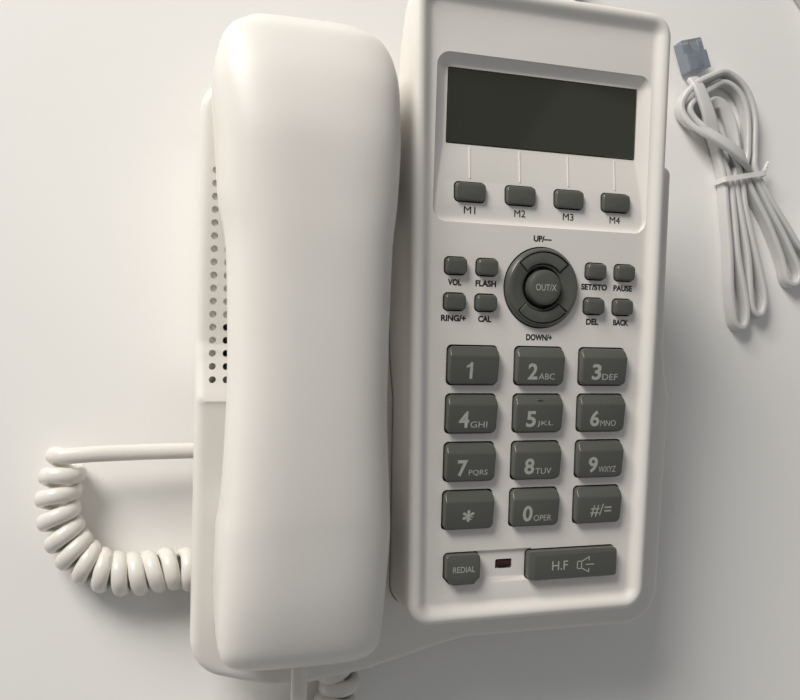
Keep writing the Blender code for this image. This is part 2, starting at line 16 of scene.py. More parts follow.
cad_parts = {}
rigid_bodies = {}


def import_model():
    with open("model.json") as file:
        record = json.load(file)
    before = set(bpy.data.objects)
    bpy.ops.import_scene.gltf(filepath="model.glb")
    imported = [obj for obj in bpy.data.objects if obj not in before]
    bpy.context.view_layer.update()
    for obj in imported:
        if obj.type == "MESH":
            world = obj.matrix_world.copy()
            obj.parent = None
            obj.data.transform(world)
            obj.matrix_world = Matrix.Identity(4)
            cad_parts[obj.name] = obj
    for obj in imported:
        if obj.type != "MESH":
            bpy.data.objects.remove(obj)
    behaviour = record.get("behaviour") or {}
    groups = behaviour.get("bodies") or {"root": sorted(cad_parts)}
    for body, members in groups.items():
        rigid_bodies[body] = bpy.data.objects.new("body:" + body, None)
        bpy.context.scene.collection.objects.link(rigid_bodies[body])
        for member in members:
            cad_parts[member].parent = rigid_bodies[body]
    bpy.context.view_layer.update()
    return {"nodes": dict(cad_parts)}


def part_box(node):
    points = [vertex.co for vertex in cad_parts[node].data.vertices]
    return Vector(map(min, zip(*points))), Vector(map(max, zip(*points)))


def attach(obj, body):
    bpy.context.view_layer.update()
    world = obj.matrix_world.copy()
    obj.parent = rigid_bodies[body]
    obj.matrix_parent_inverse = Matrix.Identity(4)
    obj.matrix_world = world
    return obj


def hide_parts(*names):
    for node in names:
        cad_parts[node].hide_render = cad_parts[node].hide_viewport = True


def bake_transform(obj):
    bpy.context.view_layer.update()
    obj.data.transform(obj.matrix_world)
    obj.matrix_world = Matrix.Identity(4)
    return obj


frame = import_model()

MM = 0.001

# %% [markdown]
# The panel, the deck and the handset all lean 7 degrees towards the user, so they are
# drawn in a deck frame: u to the right, v up the slope, w out of the surface, with
# w = 0 on the panel's rim. The frame's own nodes, seen from there, say where each key is.

# %% The deck frame
TILT = math.radians(7)
DECK_AT = (20, -6.247, 50)
DECK = Matrix.Translation(Vector(DECK_AT) * MM) @ Matrix.Rotation(TILT, 4, "X")
DECK_MM = DECK @ Matrix.Scale(MM, 4)
WORLD_MM = Matrix.Scale(MM, 4)
Z_UP = Vector((0, 0, 1))


def extent(points):
    """Lowest and highest corner of some points."""
    return [Vector([pick(p[i] for p in points) for i in range(3)]) for pick in (min, max)]


def deck_box(node):
    """Lowest and highest corner of a CAD node in the deck frame, in mm."""
    to_deck = DECK_MM.inverted()
    return extent([to_deck @ v.co for v in frame["nodes"][node].data.vertices])


def middle(node):
    low, high = deck_box(node)
    return (low + high) / 2


def plan(node):
    """A CAD node's centre (u, v), its width and length, and the height of its top."""
    low, high = deck_box(node)
    return ((low.x + high.x) / 2, (low.y + high.y) / 2), (high.x - low.x, high.y - low.y), high.z


print("panel in the deck frame:", [tuple(round(c, 1) for c in p) for p in deck_box("control_panel")])

# %% [markdown]
# The camera stands above the phone's left edge and looks down at the keypad, close
# enough for the handset to lean into the lens. A 38 mm lens gives that perspective.

# %% Camera
def added(name, data):
    """A new object in the scene."""
    made = bpy.data.objects.new(name, data)
    bpy.context.scene.collection.objects.link(made)
    return made


camera = added("camera", bpy.data.cameras.new("camera"))
bpy.context.scene.camera = camera
right = Vector((0.954293, -0.006257, 0.298806))
up = Vector((-0.016256, 0.997214, 0.072799))
turn = Matrix((right, up, right.cross(up))).transposed().to_4x4()
camera.matrix_world = Matrix.Translation(Vector((-93.06, -19.72, 275.02)) * MM) @ turn
camera.data.lens = 38.25
camera.data.sensor_width = 36
camera.data.shift_x = -0.0031
camera.data.clip_start = 0.01
print("camera looks along", [round(c, 3) for c in -right.cross(up)])

# %% [markdown]
# Every material is a small node tree. One function adds a node with its settings and
# links, and one turns a colour, given as an sRGB hex value, into the linear numbers
# that the shader works in.


# %% Node and colour helpers
def node(tree, kind, settings=None, inputs=None):
    """Adds a node. Inputs are plain values, or sockets to link from."""
    made = tree.nodes.new(kind)
    for key, value in (settings or {}).items():
        setattr(made, key, value)
    for key, value in (inputs or {}).items():
        if isinstance(value, bpy.types.NodeSocket):
            tree.links.new(value, made.inputs[key])
        else:
            made.inputs[key].default_value = value
    return made


def linear(hexed):
    """An sRGB hex colour as linear RGBA."""
    parts = [int(hexed[i:i + 2], 16) / 255 for i in (1, 3, 5)]
    return (*(c / 12.92 if c <= 0.04045 else ((c + 0.055) / 1.055) ** 2.4 for c in parts), 1)


print("warm white", [round(c, 3) for c in linear("#EBE6DC")])

# %% [markdown]
# Moulded ABS and PVC take the texture of their mould: a fine spark-eroded grain that
# breaks up the gloss. Under it the tone drifts a little, because the resin yellows
# unevenly and hands leave a trace. The grain is about 0.4 mm, drawn a little coarser
# than the real one so that it shows.


# %% Moulded plastics
def shaded(name):
    """A new material, its tree and shader, and a place on the piece for its textures."""
    made = bpy.data.materials.new(name)
    made.use_nodes = True
    tree = made.node_tree
    return made, tree, tree.nodes["Principled BSDF"], node(tree, "ShaderNodeTexCoord").outputs["Object"]


def moulded(name, light, dark, roughness, grain=0.4, depth=0.02, coat=0.0):
    """Plastic whose tone drifts between two colours, with grain in mm and its depth in mm."""
    made, tree, shader, place = shaded(name)
    drift = node(tree, "ShaderNodeTexNoise", inputs={"Vector": place, "Scale": 28, "Detail": 3})
    tone = node(tree, "ShaderNodeMix", {"data_type": "RGBA"},
                {0: drift.outputs["Fac"], 6: linear(dark), 7: linear(light)})
    pits = node(tree, "ShaderNodeTexNoise",
                inputs={"Vector": place, "Scale": 1 / (grain * MM), "Detail": 2})
    gloss = node(tree, "ShaderNodeMapRange", inputs={
        "Value": pits.outputs["Fac"], "From Min": 0.3, "From Max": 0.7,
        "To Min": roughness - 0.04, "To Max": roughness + 0.05})
    bump = node(tree, "ShaderNodeBump", inputs={
        "Height": pits.outputs["Fac"], "Distance": depth * MM, "Strength": 0.6})
    tree.links.new(tone.outputs[2], shader.inputs["Base Color"])
    tree.links.new(gloss.outputs[0], shader.inputs["Roughness"])
    tree.links.new(bump.outputs["Normal"], shader.inputs["Normal"])
    shader.inputs["IOR"].default_value = 1.53
    shader.inputs["Coat Weight"].default_value = coat
    return made


ivory_abs = moulded("ivory_abs_moulded", "#EEEBE6", "#E4E0D9", 0.42)
key_abs = moulded("grey_abs_key", "#5C5E58", "#51534E", 0.3, grain=0.3)
black_abs = moulded("black_abs_moulded", "#1C1C1B", "#151514", 0.5)
cord_pvc = moulded("ivory_pvc_cord", "#ECE9E3", "#E1DDD5", 0.3, grain=0.6, depth=0.01, coat=0.15)
line_pvc = moulded("white_pvc_flat_cord", "#D8D8D6", "#C6C6C5", 0.36, grain=0.5, depth=0.01)
foot_rubber = moulded("black_rubber_foot", "#26262A", "#1B1B1D", 0.8, grain=0.5, depth=0.05)
dome_silicone = moulded("silicone_sheet", "#A9A9A2", "#9C9C95", 0.65)
tie_paper = moulded("white_tie_coating", "#ECECE8", "#DCDCD6", 0.5, grain=0.3)
print("plastics:", [m.name for m in bpy.data.materials if "_" in m.name])

# %% [markdown]
# The other finishes aren't grained: printing inks, the clear polycarbonate of the modular
# plugs, the polished lenses over the display and the indicator, and metal. A faint film
# of handling makes their gloss uneven.


# %% Inks, lenses, metal
def plain(name, colour, roughness, **sockets):
    made, tree, shader, place = shaded(name)
    film = node(tree, "ShaderNodeTexNoise", inputs={"Vector": place, "Scale": 240, "Detail": 2})
    gloss = node(tree, "ShaderNodeMapRange", inputs={
        "Value": film.outputs["Fac"], "To Min": roughness * 0.7, "To Max": roughness * 1.3})
    tree.links.new(gloss.outputs[0], shader.inputs["Roughness"])
    shader.inputs["Base Color"].default_value = linear(colour)
    for key, value in sockets.items():
        shader.inputs[key.replace("_", " ")].default_value = value
    return made


legend_ink = plain("pale_legend_ink", "#B6B7B0", 0.5)
label_ink = plain("black_label_ink", "#22221E", 0.5)
display_lens = plain("olive_display_lens", "#34352B", 0.1, IOR=1.49, Coat_Weight=0.5)
indicator_lens = plain("dark_red_lens", "#351C18", 0.15, IOR=1.49)
plug_clear = plain("clear_polycarbonate", "#C3CCD8", 0.12, IOR=1.58, Transmission_Weight=0.7)
contact_gold = plain("gold_contact", "#D2A85A", 0.25, Metallic=1.0)
zinc_steel = plain("zinc_plated_steel", "#A9ABAD", 0.35, Metallic=1.0)
solder_mask = plain("green_solder_mask", "#24562F", 0.4)
print("inks and lenses:", legend_ink.name, label_ink.name, display_lens.name)

# %% [markdown]
# Most of the shells are lofts: rings of points joined by quads. Outlines are given by
# their corners with a radius at each, and a ring further in is that outline moved
# inwards. Openings are cut with Booleans in millimetres, where the solver has room.


# %% Shape helpers
def rounded(corners, steps=8):
    """Outline through (x, y, radius) corners, run anticlockwise."""
    points = []
    for i, (x, y, r) in enumerate(corners):
        here = Vector((x, y))
        if not r:
            points.append(here)
            continue
        back = (Vector(corners[i - 1][:2]) - here).normalized()
        ahead = (Vector(corners[(i + 1) % len(corners)][:2]) - here).normalized()
        half = back.angle(ahead) / 2
        centre = here + (back + ahead).normalized() * r / math.sin(half)
        start = here + back * r / math.tan(half) - centre
        end = here + ahead * r / math.tan(half) - centre
        sweep = math.atan2(start.cross(end), start.dot(end))
        points += [centre + Matrix.Rotation(sweep * k / steps, 2) @ start for k in range(steps + 1)]
    return [(p.x, p.y) for p in points]


def rect(width, height, r, at=(0, 0), steps=6):
    x, y = width / 2, height / 2
    corners = [(-x, -y), (x, -y), (x, y), (-x, y)]
    return rounded([(at[0] + a, at[1] + b, r) for a, b in corners], steps)


def circle(radius, count=48, at=(0, 0)):
    turns = [2 * math.pi * i / count for i in range(count)]
    return [(at[0] + radius * math.cos(t), at[1] + radius * math.sin(t)) for t in turns]


def inset(outline, d):
    out = []
    for i, p in enumerate(outline):
        t = (Vector(outline[(i + 1) % len(outline)]) - Vector(outline[i - 1])).normalized()
        out.append((p[0] - t.y * d, p[1] + t.x * d))
    return out


def level(outline, z):
    return [(x, y, z) for x, y in outline]


def loft(rings):
    """A closed bmesh through rings of equal length."""
    work = bmesh.new()
    made = [[work.verts.new(p) for p in ring] for ring in rings]
    for a, b in zip(made, made[1:]):
        for i in range(len(a)):
            j = (i + 1) % len(a)
            work.faces.new((a[i], a[j], b[j], b[i]))
    work.faces.new(made[0])
    work.faces.new(list(reversed(made[-1])))
    bmesh.ops.recalc_face_normals(work, faces=work.faces)
    return work


def stacked(outline, steps):
    """A solid of one outline: (inset, height) pairs from the bottom up."""
    return loft([level(inset(outline, d), h) for d, h in steps])


def prism(outline, low, high):
    return stacked(outline, [(0, low), (0, high)])


def run_across(profile, left, right):
    """A solid of one (v, w) profile, from left to right."""
    return loft([[(u, v, w) for v, w in profile] for u in (left, right)])


def box(low, high):
    return prism([(low[0], low[1]), (high[0], low[1]), (high[0], high[1]), (low[0], high[1])],
                 low[2], high[2])


print("rounded outline has", len(rect(10, 5, 1)), "points")


# %% Mesh helpers
def to_mesh(work, name="part"):
    mesh = bpy.data.meshes.new(name)
    work.to_mesh(mesh)
    work.free()
    return mesh


def to_work(mesh):
    """A mesh as a bmesh; the mesh itself goes."""
    work = bmesh.new()
    work.from_mesh(mesh)
    bpy.data.meshes.remove(mesh)
    return work


def together(works):
    """Several bmeshes as one."""
    work = bmesh.new()
    for other in works:
        mesh = to_mesh(other)
        work.from_mesh(mesh)
        bpy.data.meshes.remove(mesh)
    return work


def evaluated(item):
    bpy.context.view_layer.update()
    graph = bpy.context.evaluated_depsgraph_get()
    return bpy.data.meshes.new_from_object(item.evaluated_get(graph), depsgraph=graph)


def cut(work, tools, operation="DIFFERENCE"):
    """The bmesh after a Boolean with the tools, which may be one bmesh or several."""
    tools = tools if isinstance(tools, list) else [tools]
    target = added("target", to_mesh(work))
    tool = added("tool", to_mesh(together(tools)))
    change = target.modifiers.new("cut", "BOOLEAN")
    change.operation = operation
    change.object = tool
    change.solver = "EXACT"
    mesh = evaluated(target)
    for item in (target, tool):
        bpy.data.objects.remove(item)
    return to_work(mesh)


def slice_off(work, point, normal):
    """Cuts away what lies beyond a plane and closes the cut."""
    geometry = work.verts[:] + work.edges[:] + work.faces[:]
    bmesh.ops.bisect_plane(work, geom=geometry, dist=1e-5, plane_co=point, plane_no=normal,
                           clear_outer=True)
    bmesh.ops.edgeloop_fill(work, edges=[e for e in work.edges if e.is_boundary])


def soften(work, width, above):
    """Rounds every edge above a height that turns by more than 20 degrees."""
    rim = [e for e in work.edges
           if min(v.co.z for v in e.verts) > above and e.calc_face_angle(0) > 0.35]
    bmesh.ops.bevel(work, geom=rim, offset=width, segments=3, profile=0.5,
                    affect="EDGES", clamp_overlap=True)


def piece(name, works, body="base", place=DECK_MM, replaces=(), smooth=38):
    """One named mesh from (bmesh, material) pairs, put in place and ridden on its body."""
    for index, (work, _) in enumerate(works):
        for face in work.faces:
            face.material_index = index
            face.smooth = True
    mesh = to_mesh(together([work for work, _ in works]), name)
    for _, material in works:
        mesh.materials.append(material)
    mesh.transform(place)
    mesh.set_sharp_from_angle(angle=math.radians(smooth))
    made = added(name, mesh)
    if body:
        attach(made, body)
    if replaces:
        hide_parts(*replaces)
    return made


print("mesh helpers ready")

# %% [markdown]
# A cord is a fixed length of something flexible, so its route comes first: a smooth
# curve through a few points, walked in even steps. The coiled cord winds round its
# route; where the route bends, the turns open so that they don't run into each other on
# the inside. One function then draws a tube of any section along the walked points.

# %% Routes
CORD = (4.7, 3.6)     # oval handset cord: width and thickness
COIL = 13.2           # its coil, across
LINE = (2.4, 5.0)     # flat line cord: thickness and width


def smooth_route(points, step):
    """Points a step apart on a Catmull-Rom curve; any extra numbers are eased along with x, y, z."""
    knots = [Vector(p) for p in points]
    knots = [2 * knots[0] - knots[1]] + knots + [2 * knots[-1] - knots[-2]]
    fine = []
    for a, b, c, d in zip(knots, knots[1:], knots[2:], knots[3:]):
        for k in range(24):
            t = k / 24
            fine.append(0.5 * (2 * b + (c - a) * t + (2 * a - 5 * b + 4 * c - d) * t ** 2
                               + (3 * b - a - 3 * c + d) * t ** 3))
    fine.append(knots[-2])
    out, left = [fine[0]], step
    for a, b in zip(fine, fine[1:]):
        span = (b.xyz - a.xyz).length
        while span >= left:
            a = a.lerp(b, left / span)
            span = (b.xyz - a.xyz).length
            out.append(a)
            left = step
        left -= span
    return out


def swept(path, section, rolls=None, outward=None):
    """A closed tube: the section's (across, up) points carried along the path, rolled where told.

    Outward gives the way the section's back faces; where it holds None, the last way is kept."""
    rings = []
    back = (path[1] - path[0]).orthogonal()
    for i, p in enumerate(path):
        ahead = (path[min(i + 1, len(path) - 1)] - path[max(i - 1, 0)]).normalized()
        if rolls is None:
            back = outward[i] if outward and outward[i] else back
            back = (back - ahead * back.dot(ahead)).normalized()
            across = ahead.cross(back)
        else:
            flat = Z_UP.cross(ahead).normalized()
            across = Matrix.Rotation(rolls[i], 3, ahead) @ flat
        over = ahead.cross(across)
        rings.append([p + across * a + over * b for a, b in section])
    return loft(rings)


print("a straight route of 10 mm walks in", len(smooth_route([(0, 0, 0), (10, 0, 0)], 1)), "points")

# %% [markdown]
# The handset cord leaves its socket under the base's left edge, coils along the desk in
# a long S and comes up into the front end of the handset. Its first turns are stretched a
# little; after that they are packed, and open only where the route bends.

# %% Handset cord
BASE_TAIL = [(-61.7, -30.5, 10.8), (-70, -30.5, 10.9), (-80, -30.5, 11.1), (-90, -30.6, 11.3),
             (-100, -30.8, 11.7), (-108, -31, 11.9)]
COIL_ROUTE = [(-111, -31.2), (-112.8, -36), (-113.9, -41), (-114, -47), (-112, -54.3),
              (-107, -61.5), (-100, -65.5), (-92, -66.6), (-80, -65.8), (-68, -69), (-55, -75.5),
              (-42, -85), (-32.5, -97), (-31, -107), (-38, -117.5), (-54, -123.5), (-74, -124.5),
              (-92, -120)]
HANDSET_TAIL = [(-47.5, -88, 30.4), (-47.5, -94, 30), (-47.5, -101, 29), (-47.2, -112, 26.5),
                (-47, -126, 21.5), (-51, -139, 14.5), (-62, -149, 7), (-77, -152, 3),
                (-93, -149, 2.6), (-105, -140, 3), (-109, -129, 4.6), (-103, -119, 6.8),
                (-92.4, -120, 7.15)]
COIL_Z = 7.15           # height of the coil's axis
TIGHT, OPEN = 4.75, 5.5  # pitch where packed, and at the stretched start
STRETCHED = 30          # length of route that is stretched
RUN_OUT = 6             # length over which the last turn becomes the handset's tail
PER_TURN = 16           # points drawn for each turn


def wound(route, radius):
    """A helix round the route, from the top of its first turn; the pitch eases open on bends."""
    step, spread = 0.2, 3      # mm walked at a time, and steps either side that judge a bend
    centres = smooth_route(route, step)
    total = len(centres)
    out, outward, turned, due = [], [], math.pi / 2, 0.0
    for i in range(spread, total - spread):
        before, here, after = centres[i - spread], centres[i], centres[i + spread]
        ahead = (after - before).normalized()
        bend = (after - 2 * here + before).length / (spread * step) ** 2
        early = max(0, 1 - i * step / STRETCHED)
        pitch = (TIGHT + (OPEN - TIGHT) * min(1, 3 * early)) * (1 + 0.3 * radius * min(bend, 0.12))
        turned += 2 * math.pi * step / pitch
        if turned < due:
            continue
        due += 2 * math.pi / PER_TURN
        ease = min(1, (total - i) * step / RUN_OUT)
        reach = radius * ease * ease * (3 - 2 * ease)
        outward.append(Z_UP.cross(ahead) * math.cos(turned) + Z_UP * math.sin(turned))
        out.append(here + outward[-1] * reach)
    return out, outward, turned / (2 * math.pi)


helix, outward, turns = wound(level(COIL_ROUTE, COIL_Z), (COIL - CORD[1]) / 2 - 0.05)
base_tail = smooth_route(BASE_TAIL, 1.5)[:-1]
handset_tail = list(reversed(smooth_route(HANDSET_TAIL, 1.5)[:-1]))
cord_path = base_tail + helix + handset_tail
flat_up = Z_UP * math.copysign(1, outward[-1].z)      # the tails lie with their flat side up
outward = ([Z_UP] + [None] * (len(base_tail) - 1) + outward
           + [outward[-1].lerp(flat_up, min(1, i / 12)) for i in range(len(handset_tail))])
oval = [(x * CORD[0], y * CORD[1]) for x, y in circle(0.5, 14)]
handset_cord = piece("handset_cord", [(swept(cord_path, oval, outward=outward), cord_pvc)],
                     body=None, place=WORLD_MM, smooth=60)
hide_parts("handset_cord_coil", "handset_cord_base_tail", "handset_cord_handset_tail")
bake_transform(handset_cord)

# %% [markdown]
# The line cord is a flat ribbon, 5 mm by 2.4 mm. It leaves the rear socket flat, tips
# onto its edge where it lies on the desk, as a ribbon does when it bends sideways, and
# goes up and down through a paper-covered twist tie. Each point of the route carries a
# fourth number: how far the ribbon is rolled, from 0 on its edge to 1 lying flat. A point
# given by x and y alone is on its edge on the desk, as every strand in the tie is.

# %% Line cord
LEAD = [(40, 64.2, 19, 1), (40.5, 72, 18.5, 1), (43, 82, 14, 1), (47, 94, 7, 0.7),
        (52, 108, 3.2, 0.2), (57, 124), (62, 142), (74, 158), (96, 166), (122, 167), (148, 162),
        (166, 147), (175, 124), (176.6, 98), (174, 74), (167, 54)]
SLOT = [Vector((122.8, 69.4)) + Vector((2.6, 0.55)) * i for i in range(7)]  # in the tie
RIGHT_LEG = [[(160.5, 43), (151, 54)],
             [(146.5, 55), (152.5, 44.5), (156.8, 35), (154.8, 30.2)],
             [(150.8, 31.6), (148.2, 41), (142.6, 54)]]
OUTER_LOOP = [(137.6, 82), (138.2, 97), (134.2, 107.5), (126, 112.4, 3, 0), (117.5, 109.2, 5, 0.2),
              (109, 104.6, 5, 0.1), (104.4, 97.5, 2.9, 0), (107.3, 90.2, 4.2, 0.2),
              (117, 84, 8.2, 0.8), (127.5, 78, 8.2, 0.8)]
INNER_LOOP = [(134.4, 82), (134.8, 96.5), (131.4, 105), (124.5, 108.4, 2.8, 0),
              (117.2, 104.6, 3.4, 0), (111.4, 100.6, 3.4, 0), (108.2, 96.6, 2.8, 0),
              (110.8, 91.8, 3.2, 0.1), (118.8, 86.6, 5.6, 0.6), (126, 80, 5, 0.4)]
LEFT_LEG = [[(132.4, 58), (136.6, 40), (139.7, 25), (137.5, 17.6)],
            [(133.5, 21), (132.6, 40), (129.8, 58)],
            [(126.7, 58), (128, 40), (131.1, 21), (129.7, 12.8)],
            [(125.6, 14.2), (124.2, 26), (124.3, 42), (123.4, 58)]]
TWISTED_LOOP = [(129.8, 80), (127.6, 92, 2.9, 0.5), (123.4, 99.8, 3, 1), (117.6, 99, 2.9, 0.5),
                (116.4, 92.6), (119.6, 84)]
TO_PLUG = [(120.6, 80, 3, 0), (114.4, 92.4, 7.4, 0.8), (110.6, 103, 7, 1), (109.2, 108.4, 4.4, 1)]

line_route = (LEAD + RIGHT_LEG[0] + [SLOT[6]] + OUTER_LOOP + [SLOT[5]] + RIGHT_LEG[1]
              + RIGHT_LEG[2] + [SLOT[4]] + INNER_LOOP + [SLOT[3]] + LEFT_LEG[0] + LEFT_LEG[1]
              + [SLOT[2]] + TWISTED_LOOP + [SLOT[1]] + LEFT_LEG[2] + LEFT_LEG[3] + [SLOT[0]]
              + TO_PLUG)
line_route = [(*p, 2.7, 0) if len(p) == 2 else p for p in line_route]
walked = smooth_route(line_route, 1.2)
for p in walked:                # the ribbon rests on the desk and never dips into it
    p.z = max(p.z, LINE[1] / 2 * (1 - p.w) + LINE[0] / 2 * p.w + 0.1)
line_path = [p.xyz for p in walked]
ribbon = rect(*LINE, 0.9, steps=3)
rolls = [p[3] * math.pi / 2 for p in walked]
line_cord = piece("line_cord", [(swept(line_path, ribbon, rolls), line_pvc)],
                  place=WORLD_MM, replaces=("line_cord_lead", "line_cord_hank"),
                  smooth=60)

# %% [markdown]
# The plug on its free end is a six-way modular plug: a clear block with a stepped nose,
# a spring latch on one side and gilt blades at the nose. The tie is a flat strip round
# the bundle whose two ends are twisted together.

# %% Free plug and tie
PLUG_PLACE = (Matrix.Translation(Vector((110.4, 117.5, 0.3)) * MM)
              @ Matrix.Rotation(math.radians(16), 4, "Z") @ Matrix.Scale(MM, 4))


def modular_plug(width, length, height):
    """A plug with its nose towards +Y: body, latch and blades."""
    side, nose = width / 2, length / 2
    body = stacked(rect(width, length, 0.5),
                   [(0.25, 0.1), (0, 0.35), (0, height - 0.4), (0.3, height - 0.1)])
    body = cut(body, box((-side - 1, nose - 5.4, height - 1.5), (side + 1, nose + 1, height + 1)))
    latch = loft([[(x, y, z + t) for x, t in ((-1.6, 0), (1.6, 0), (1.6, 0.7), (-1.6, 0.7))]
                  for y, z in ((nose - 0.8, height - 2.1), (nose - 3, height - 1.1),
                               (0, height - 0.3), (-nose + 1, height - 0.5))])
    blades = together([box((x - 0.2, nose - 2.6, height - 1.8), (x + 0.2, nose - 0.4, height - 1.35))
                       for x in (-1.5, -0.5, 0.5, 1.5)])
    return [(together([body, latch]), plug_clear), (blades, contact_gold)]


free_plug = piece("free_plug", modular_plug(9.6, 12.4, 6.6), place=PLUG_PLACE,
                  replaces=("line_cord_free_plug",))
TIE_TOP, TIE_THICK, TIE_HALF = 6.4, 0.35, 1.0       # height of the band, and its strip
tie_from, tie_to = SLOT[0] - Vector((2, 0.4)), SLOT[-1] + Vector((2, 0.4))
tie_long = (tie_to - tie_from).length
tie_middle = (tie_from + tie_to).to_3d() / 2
along_tie = (tie_to - tie_from).to_3d().normalized()
strip_way = Z_UP.cross(along_tie) * TIE_HALF
loop = [tie_from.to_3d() + along_tie * a + Z_UP * b
        for a, b in rect(tie_long, TIE_TOP, 1.4, (tie_long / 2, TIE_TOP / 2 + 0.25))]
band = loft([[p + strip_way * s + (p - tie_middle).normalized() * t
              for s, t in ((-1, 0), (1, 0), (1, TIE_THICK), (-1, TIE_THICK))]
             for p in loop + loop[:1]])
knot = []
for start in (0, math.pi):
    twist = [tie_to.to_3d() + Vector((-0.6, -0.2, 5.6)) + Vector((0.34, 0.66, 0.03)) * s * 0.42
             + Vector((0, math.cos(start + s * 0.7), math.sin(start + s * 0.7))) * 0.6
             for s in range(18)]
    knot.append(swept(twist, rect(0.4, 1.1, 0.15, steps=1)))
tie = piece("twist_tie", [(together([band] + knot), tie_paper)], place=WORLD_MM)
print("free plug and tie lie at", [round(c, 3) for c in PLUG_PLACE.translation])

# %% [markdown]
# The control panel is one moulding: a raised rounded rim, a dished face, a sunken
# window for the display whose lower side sweeps up as a curved shelf under the memory
# keys, and a shallow trough between the two keys at the bottom. It is lofted from its
# outline, its underside is cut to the slope of the display's hood, and it is hollowed;
# then everything that opens it is cut.

# %% Control panel: body
PANEL = [(-38, -75, 7), (38.4, -75, 7), (39.9, 30, 0), (40, 62, 0), (40, 64.5, 0),
         (40.1, 90, 0), (40.2, 107, 7), (-42.1, 107, 7), (-41.7, 90, 0), (-41.2, 64.5, 0),
         (-41.1, 62, 0), (-40, 10, 0)]
UNDERSIDE = [(-80, -24.4), (62, -24.4), (64.5, -17.5), (90, -13.5), (107, -5.5)]
RIM = [(0, -2.6), (0.12, -1.7), (0.5, -0.85), (1.1, -0.28), (1.9, 0), (2.7, -0.1),
       (3.4, -0.45), (4.1, -1.05), (4.8, -1.6), (5.5, -1.92), (6.1, -2)]   # inset and height
FACE_W = -2
RECESS_V = (40.6, 88)           # its lower and upper edge
RECESS_HALF = 34.4              # half its width
LCD_FLOOR = -4.6
WALL = 2.2                      # thickness of the shells
RECESS_R = 4                    # radius of its corners
SHELF_END = 62.6                # where the shelf leaves the flat floor
OPEN_TO = 3                     # cutters reach this far above the panel
WIDE = (-60, 60)                # and past both of its sides


def height_at(profile, v):
    """Height of a (v, w) profile at v."""
    for (v0, w0), (v1, w1) in zip(profile, profile[1:]):
        if v <= v1:
            return w0 + (v - v0) / (v1 - v0) * (w1 - w0)
    return profile[-1][1]


panel_outline = rounded(PANEL, 10)
panel = stacked(panel_outline, [(0, UNDERSIDE[0][1])] + RIM)
below = UNDERSIDE[1:] + [(115, UNDERSIDE[-1][1]), (115, -30), (UNDERSIDE[1][0], -30)]
panel = cut(panel, run_across(below, *WIDE))
hollow = [(-90, -30), (60, -30), (62.5, -15.4), (92, -10.8), (92, -6), (-90, -6)]
panel = cut(panel, cut(prism(inset(panel_outline, WALL), -40, 0),
                       run_across(hollow, *WIDE), "INTERSECT"))
print("panel body:", len(panel.faces), "faces")


# %% Control panel: recess, shelf and trough
def shelf(v):
    """Height of the recess's floor: flat under the display, sweeping up to a small lip."""
    if v > SHELF_END:
        return LCD_FLOOR
    rise = (SHELF_END - v) / (SHELF_END - RECESS_V[0])
    return LCD_FLOOR + (1.9 * math.sin(min(rise / 0.97, 1) * math.pi / 2)
                        + 0.7 * max(0, (rise - 0.94) / 0.06))


def recess_ring(v, floor):
    """Section of the recess across the panel: sloping sides down to the floor."""
    depth = FACE_W - floor
    corner = max(0.0, RECESS_R - (v - RECESS_V[0]), RECESS_R - (RECESS_V[1] - v))
    half = RECESS_HALF - RECESS_R + math.sqrt(max(0, RECESS_R ** 2 - corner ** 2))
    foot = half - 1.25 * depth
    ease = min(0.15, depth / 3)
    right_side = [(foot - 2 * ease, v, floor), (foot + 2 * ease, v, floor + ease),
                  (half, v, FACE_W), (half, v, OPEN_TO)]
    return [(-u, v, w) for u, v, w in reversed(right_side)] + right_side


low_v, high_v = RECESS_V
stations = [low_v + d for d in (0.02, 0.25, 0.6, 1.2, 2, 3, RECESS_R)]
stations += [low_v + RECESS_R + 0.9 * i for i in range(1, 21)] + [high_v - 7]
recess_rings = [recess_ring(v, min(shelf(v), FACE_W - 0.01)) for v in stations]
for back in (4, 3.4, 2.6, 1.8, 1.2, 0.6, 0.25, 0.02):
    floor_w = min(FACE_W - 0.01, max(LCD_FLOOR, FACE_W - back * 0.8))
    recess_rings.append(recess_ring(high_v - back, floor_w))
trough = [(-54.2, 1), (-54.2, -2), (-55, -2.75), (-62.7, -2.75), (-63.9, -2), (-63.9, 1)]
panel = cut(panel, [loft(recess_rings), run_across(trough, -18, 0)])
print("recess cut:", len(panel.faces), "faces")

# %% [markdown]
# Each opening is the key's own outline grown by a clearance, so that a thin dark gap
# shows round every cap. The sizes are read from the frame's nodes.

# %% Control panel: openings
CLEARANCE = 0.4
CUT_W = (-12, 4)                # heights between which the openings are cut
CAPS = [n for n in sorted(frame["nodes"])
        if n.startswith("key_") and n not in ("key_up", "key_down", "key_out")]
openings = []


def redial_outline(grow=0.0):
    """The redial key's outline, its two front corners cut off."""
    low, high = deck_box("key_redial")
    corners = [(low.x + 1.9, low.y, 0.7), (high.x - 1.9, low.y, 0.7), (high.x, low.y + 2.1, 0.7),
               (high.x, high.y, 1), (low.x, high.y, 1), (low.x, low.y + 2.1, 0.7)]
    return inset(rounded(corners, 4), -grow)


for name in CAPS + ["indicator_lens", "display_window"]:
    at, size, _ = plan(name)
    grow = 2 * (0.25 if name == "display_window" else CLEARANCE)
    outline = (redial_outline(CLEARANCE) if name == "key_redial" else
               rect(size[0] + grow, size[1] + grow, 1.5 if name in CAPS else 0.5, at))
    openings.append(prism(outline, *CUT_W))
ring_at = middle("nav_ring")
NAV_R = 11.6
openings.append(prism(circle(NAV_R + CLEARANCE, 72, ring_at[:2]), *CUT_W))
panel = cut(panel, openings)
print("openings cut:", len(openings))

